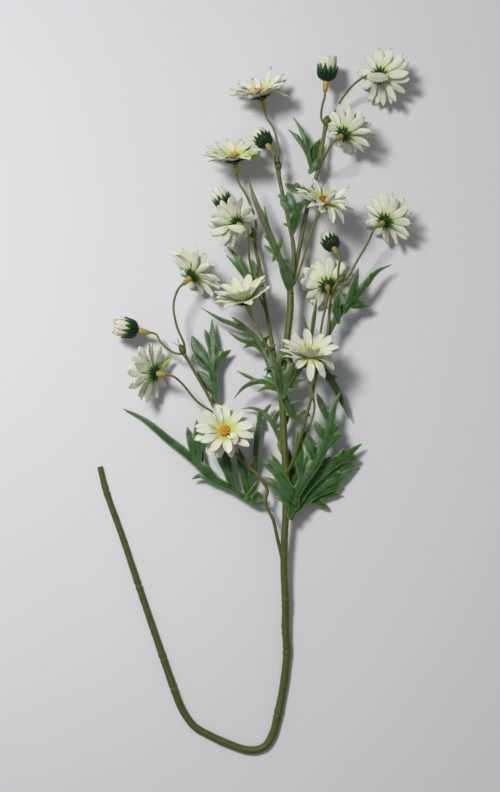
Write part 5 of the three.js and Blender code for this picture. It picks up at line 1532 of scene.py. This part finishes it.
class DAISY_OT_stage(bpy.types.Operator):
    """Floor, light and the camera that looks straight down"""

    bl_idname = "daisy.stage"
    bl_label = "Stage"

    def execute(self, context):
        look = context.scene.daisy_stage
        self._add_camera(context, look)
        self._add_floor(context, look)
        self._add_lights(context, look)
        context.scene.view_settings.view_transform = "Standard"
        return {"FINISHED"}

    def _add(self, context, name, data):
        made = bpy.data.objects.new(name, data)
        context.scene.collection.objects.link(made)
        return made

    def _add_camera(self, context, look):
        lens = bpy.data.cameras.new("camera")
        lens.lens = lens.sensor_width * look.camera_height / look.view_height
        lens.clip_start, lens.clip_end = 0.01, 20.0
        camera = self._add(context, "camera", lens)
        across, down, _ = place([0, 0, 0])
        camera.location = (across, down, look.camera_height)
        context.scene.camera = camera

    def _add_floor(self, context, look):
        mesh = bpy.data.meshes.new("floor")
        corners = [(x * FLOOR_HALF, y * FLOOR_HALF, 0) for x, y in ((-1, -1), (1, -1), (1, 1), (-1, 1))]
        mesh.from_pydata(corners, [], [(0, 1, 2, 3)])
        mesh.materials.append(floor_material(look))
        self._add(context, "floor", mesh)

    def _add_lights(self, context, look):
        lamp = bpy.data.lights.new("key", "AREA")
        lamp.size, lamp.spread = KEY_SIZE, KEY_SPREAD
        lamp.energy, lamp.color = look.key, KEY_COLOUR
        key = self._add(context, "key", lamp)
        key.location = KEY_PLACE
        key.rotation_mode = "QUATERNION"
        key.rotation_quaternion = (Vector(KEY_AIM) - Vector(KEY_PLACE)).to_track_quat("-Z", "Y")
        world = bpy.data.worlds.new("studio")
        world.use_nodes = True
        sky = world.node_tree.nodes["Background"]
        sky.inputs["Color"].default_value = SKY_COLOUR
        sky.inputs["Strength"].default_value = look.fill
        context.scene.world = world


class DAISY_OT_stems(bpy.types.Operator):
    """Main stem, side sprays with their knobs, and every pedicel"""

    bl_idname = "daisy.stems"
    bl_label = "Stems"

    def execute(self, context):
        look = context.scene.daisy_stem
        draw = np.random.default_rng(SEEDS["stems"])
        shape = Shape()
        add_main_stem(shape, draw, look.sides)
        for spray in SPRAYS:
            add_spray(shape, spray, draw)
        for flower in BLOOMS + BUDS:
            add_pedicel(shape, flower, draw)
        add_bit(shape, STUB, SIDES["stub"])
        for ends in BRISTLE_ENDS:
            add_bit(shape, {"ends": ends, **BRISTLE}, SIDES["bristle"])
        shape.piece("Stems", stem_material(look), ["stem"])
        return {"FINISHED"}


class DAISY_OT_leaves(bpy.types.Operator):
    """All the moulded leaves"""

    bl_idname = "daisy.leaves"
    bl_label = "Leaves"

    def execute(self, context):
        look = context.scene.daisy_leaf
        materials = {tone: leaf_material(look, tone) for tone in ("deep", "grey")}
        for number, (name, made_of) in enumerate(LEAVES.items()):
            leaf(name, number, look, materials[made_of["tone"]])
        return {"FINISHED"}


class DAISY_OT_blooms(bpy.types.Operator):
    """Petals, calyx, disc and collar of every bloom"""

    bl_idname = "daisy.blooms"
    bl_label = "Blooms"

    def execute(self, context):
        scene = context.scene
        fabric = petal_material(scene.daisy_petal)
        green = calyx_material(scene.daisy_green)
        orange = disc_material(scene.daisy_centre)
        yellow = collar_material(scene.daisy_centre)
        for number, bloom in enumerate(BLOOMS, start=1):
            bloom_petals(bloom, number, scene.daisy_petal, fabric)
            bloom_calyx(bloom, number, green)
            bloom_disc(bloom, number, scene.daisy_centre, orange)
            collar(bloom, f"Collar_{number:02d}", [f"bloom_{number:02d}_centre"], yellow)
        return {"FINISHED"}


class DAISY_OT_buds(bpy.types.Operator):
    """Calyx, closed petals and collar of every bud, in the blooms' materials"""

    bl_idname = "daisy.buds"
    bl_label = "Buds"

    def execute(self, context):
        look = context.scene.daisy_petal
        names = ("petal_fabric", "calyx_plastic", "collar_plastic")
        fabric, green, yellow = (bpy.data.materials[name] for name in names)
        for number, bud in enumerate(BUDS, start=1):
            bud_calyx(bud, number, green)
            bud_petals(bud, number, look, fabric)
            collar(bud, f"Bud_Collar_{number}", ["stem"], yellow)
        return {"FINISHED"}


class DAISY_PT_panel(bpy.types.Panel):
    """Buttons for the stage and each group of pieces"""

    bl_label = "Daisy spray"
    bl_idname = "DAISY_PT_panel"
    bl_space_type = "VIEW_3D"
    bl_region_type = "UI"
    bl_category = "Daisy"

    def draw(self, context):
        for operator in OPERATORS:
            self.layout.operator(operator.bl_idname)
        for name, group in LOOKS.items():
            box = self.layout.box()
            for prop in group.__annotations__:
                box.prop(getattr(context.scene, name), prop)


LOOKS = {
    "daisy_petal": DaisyPetalLook,
    "daisy_stem": DaisyStemLook,
    "daisy_leaf": DaisyLeafLook,
    "daisy_green": DaisyGreenLook,
    "daisy_centre": DaisyCentreLook,
    "daisy_stage": DaisyStageLook,
}
OPERATORS = [DAISY_OT_stage, DAISY_OT_stems, DAISY_OT_leaves, DAISY_OT_blooms, DAISY_OT_buds]


def register():
    for kind in [*LOOKS.values(), *OPERATORS, DAISY_PT_panel]:
        bpy.utils.register_class(kind)
    for name, group in LOOKS.items():
        setattr(bpy.types.Scene, name, PointerProperty(type=group))


def unregister():
    for name in LOOKS:
        delattr(bpy.types.Scene, name)
    for kind in [DAISY_PT_panel, *reversed(OPERATORS), *reversed(LOOKS.values())]:
        bpy.utils.unregister_class(kind)


def main():
    register()
    bpy.ops.daisy.stage()
    bpy.ops.daisy.stems()
    bpy.ops.daisy.leaves()
    bpy.ops.daisy.blooms()
    bpy.ops.daisy.buds()


if __name__ == "__main__":
    main()
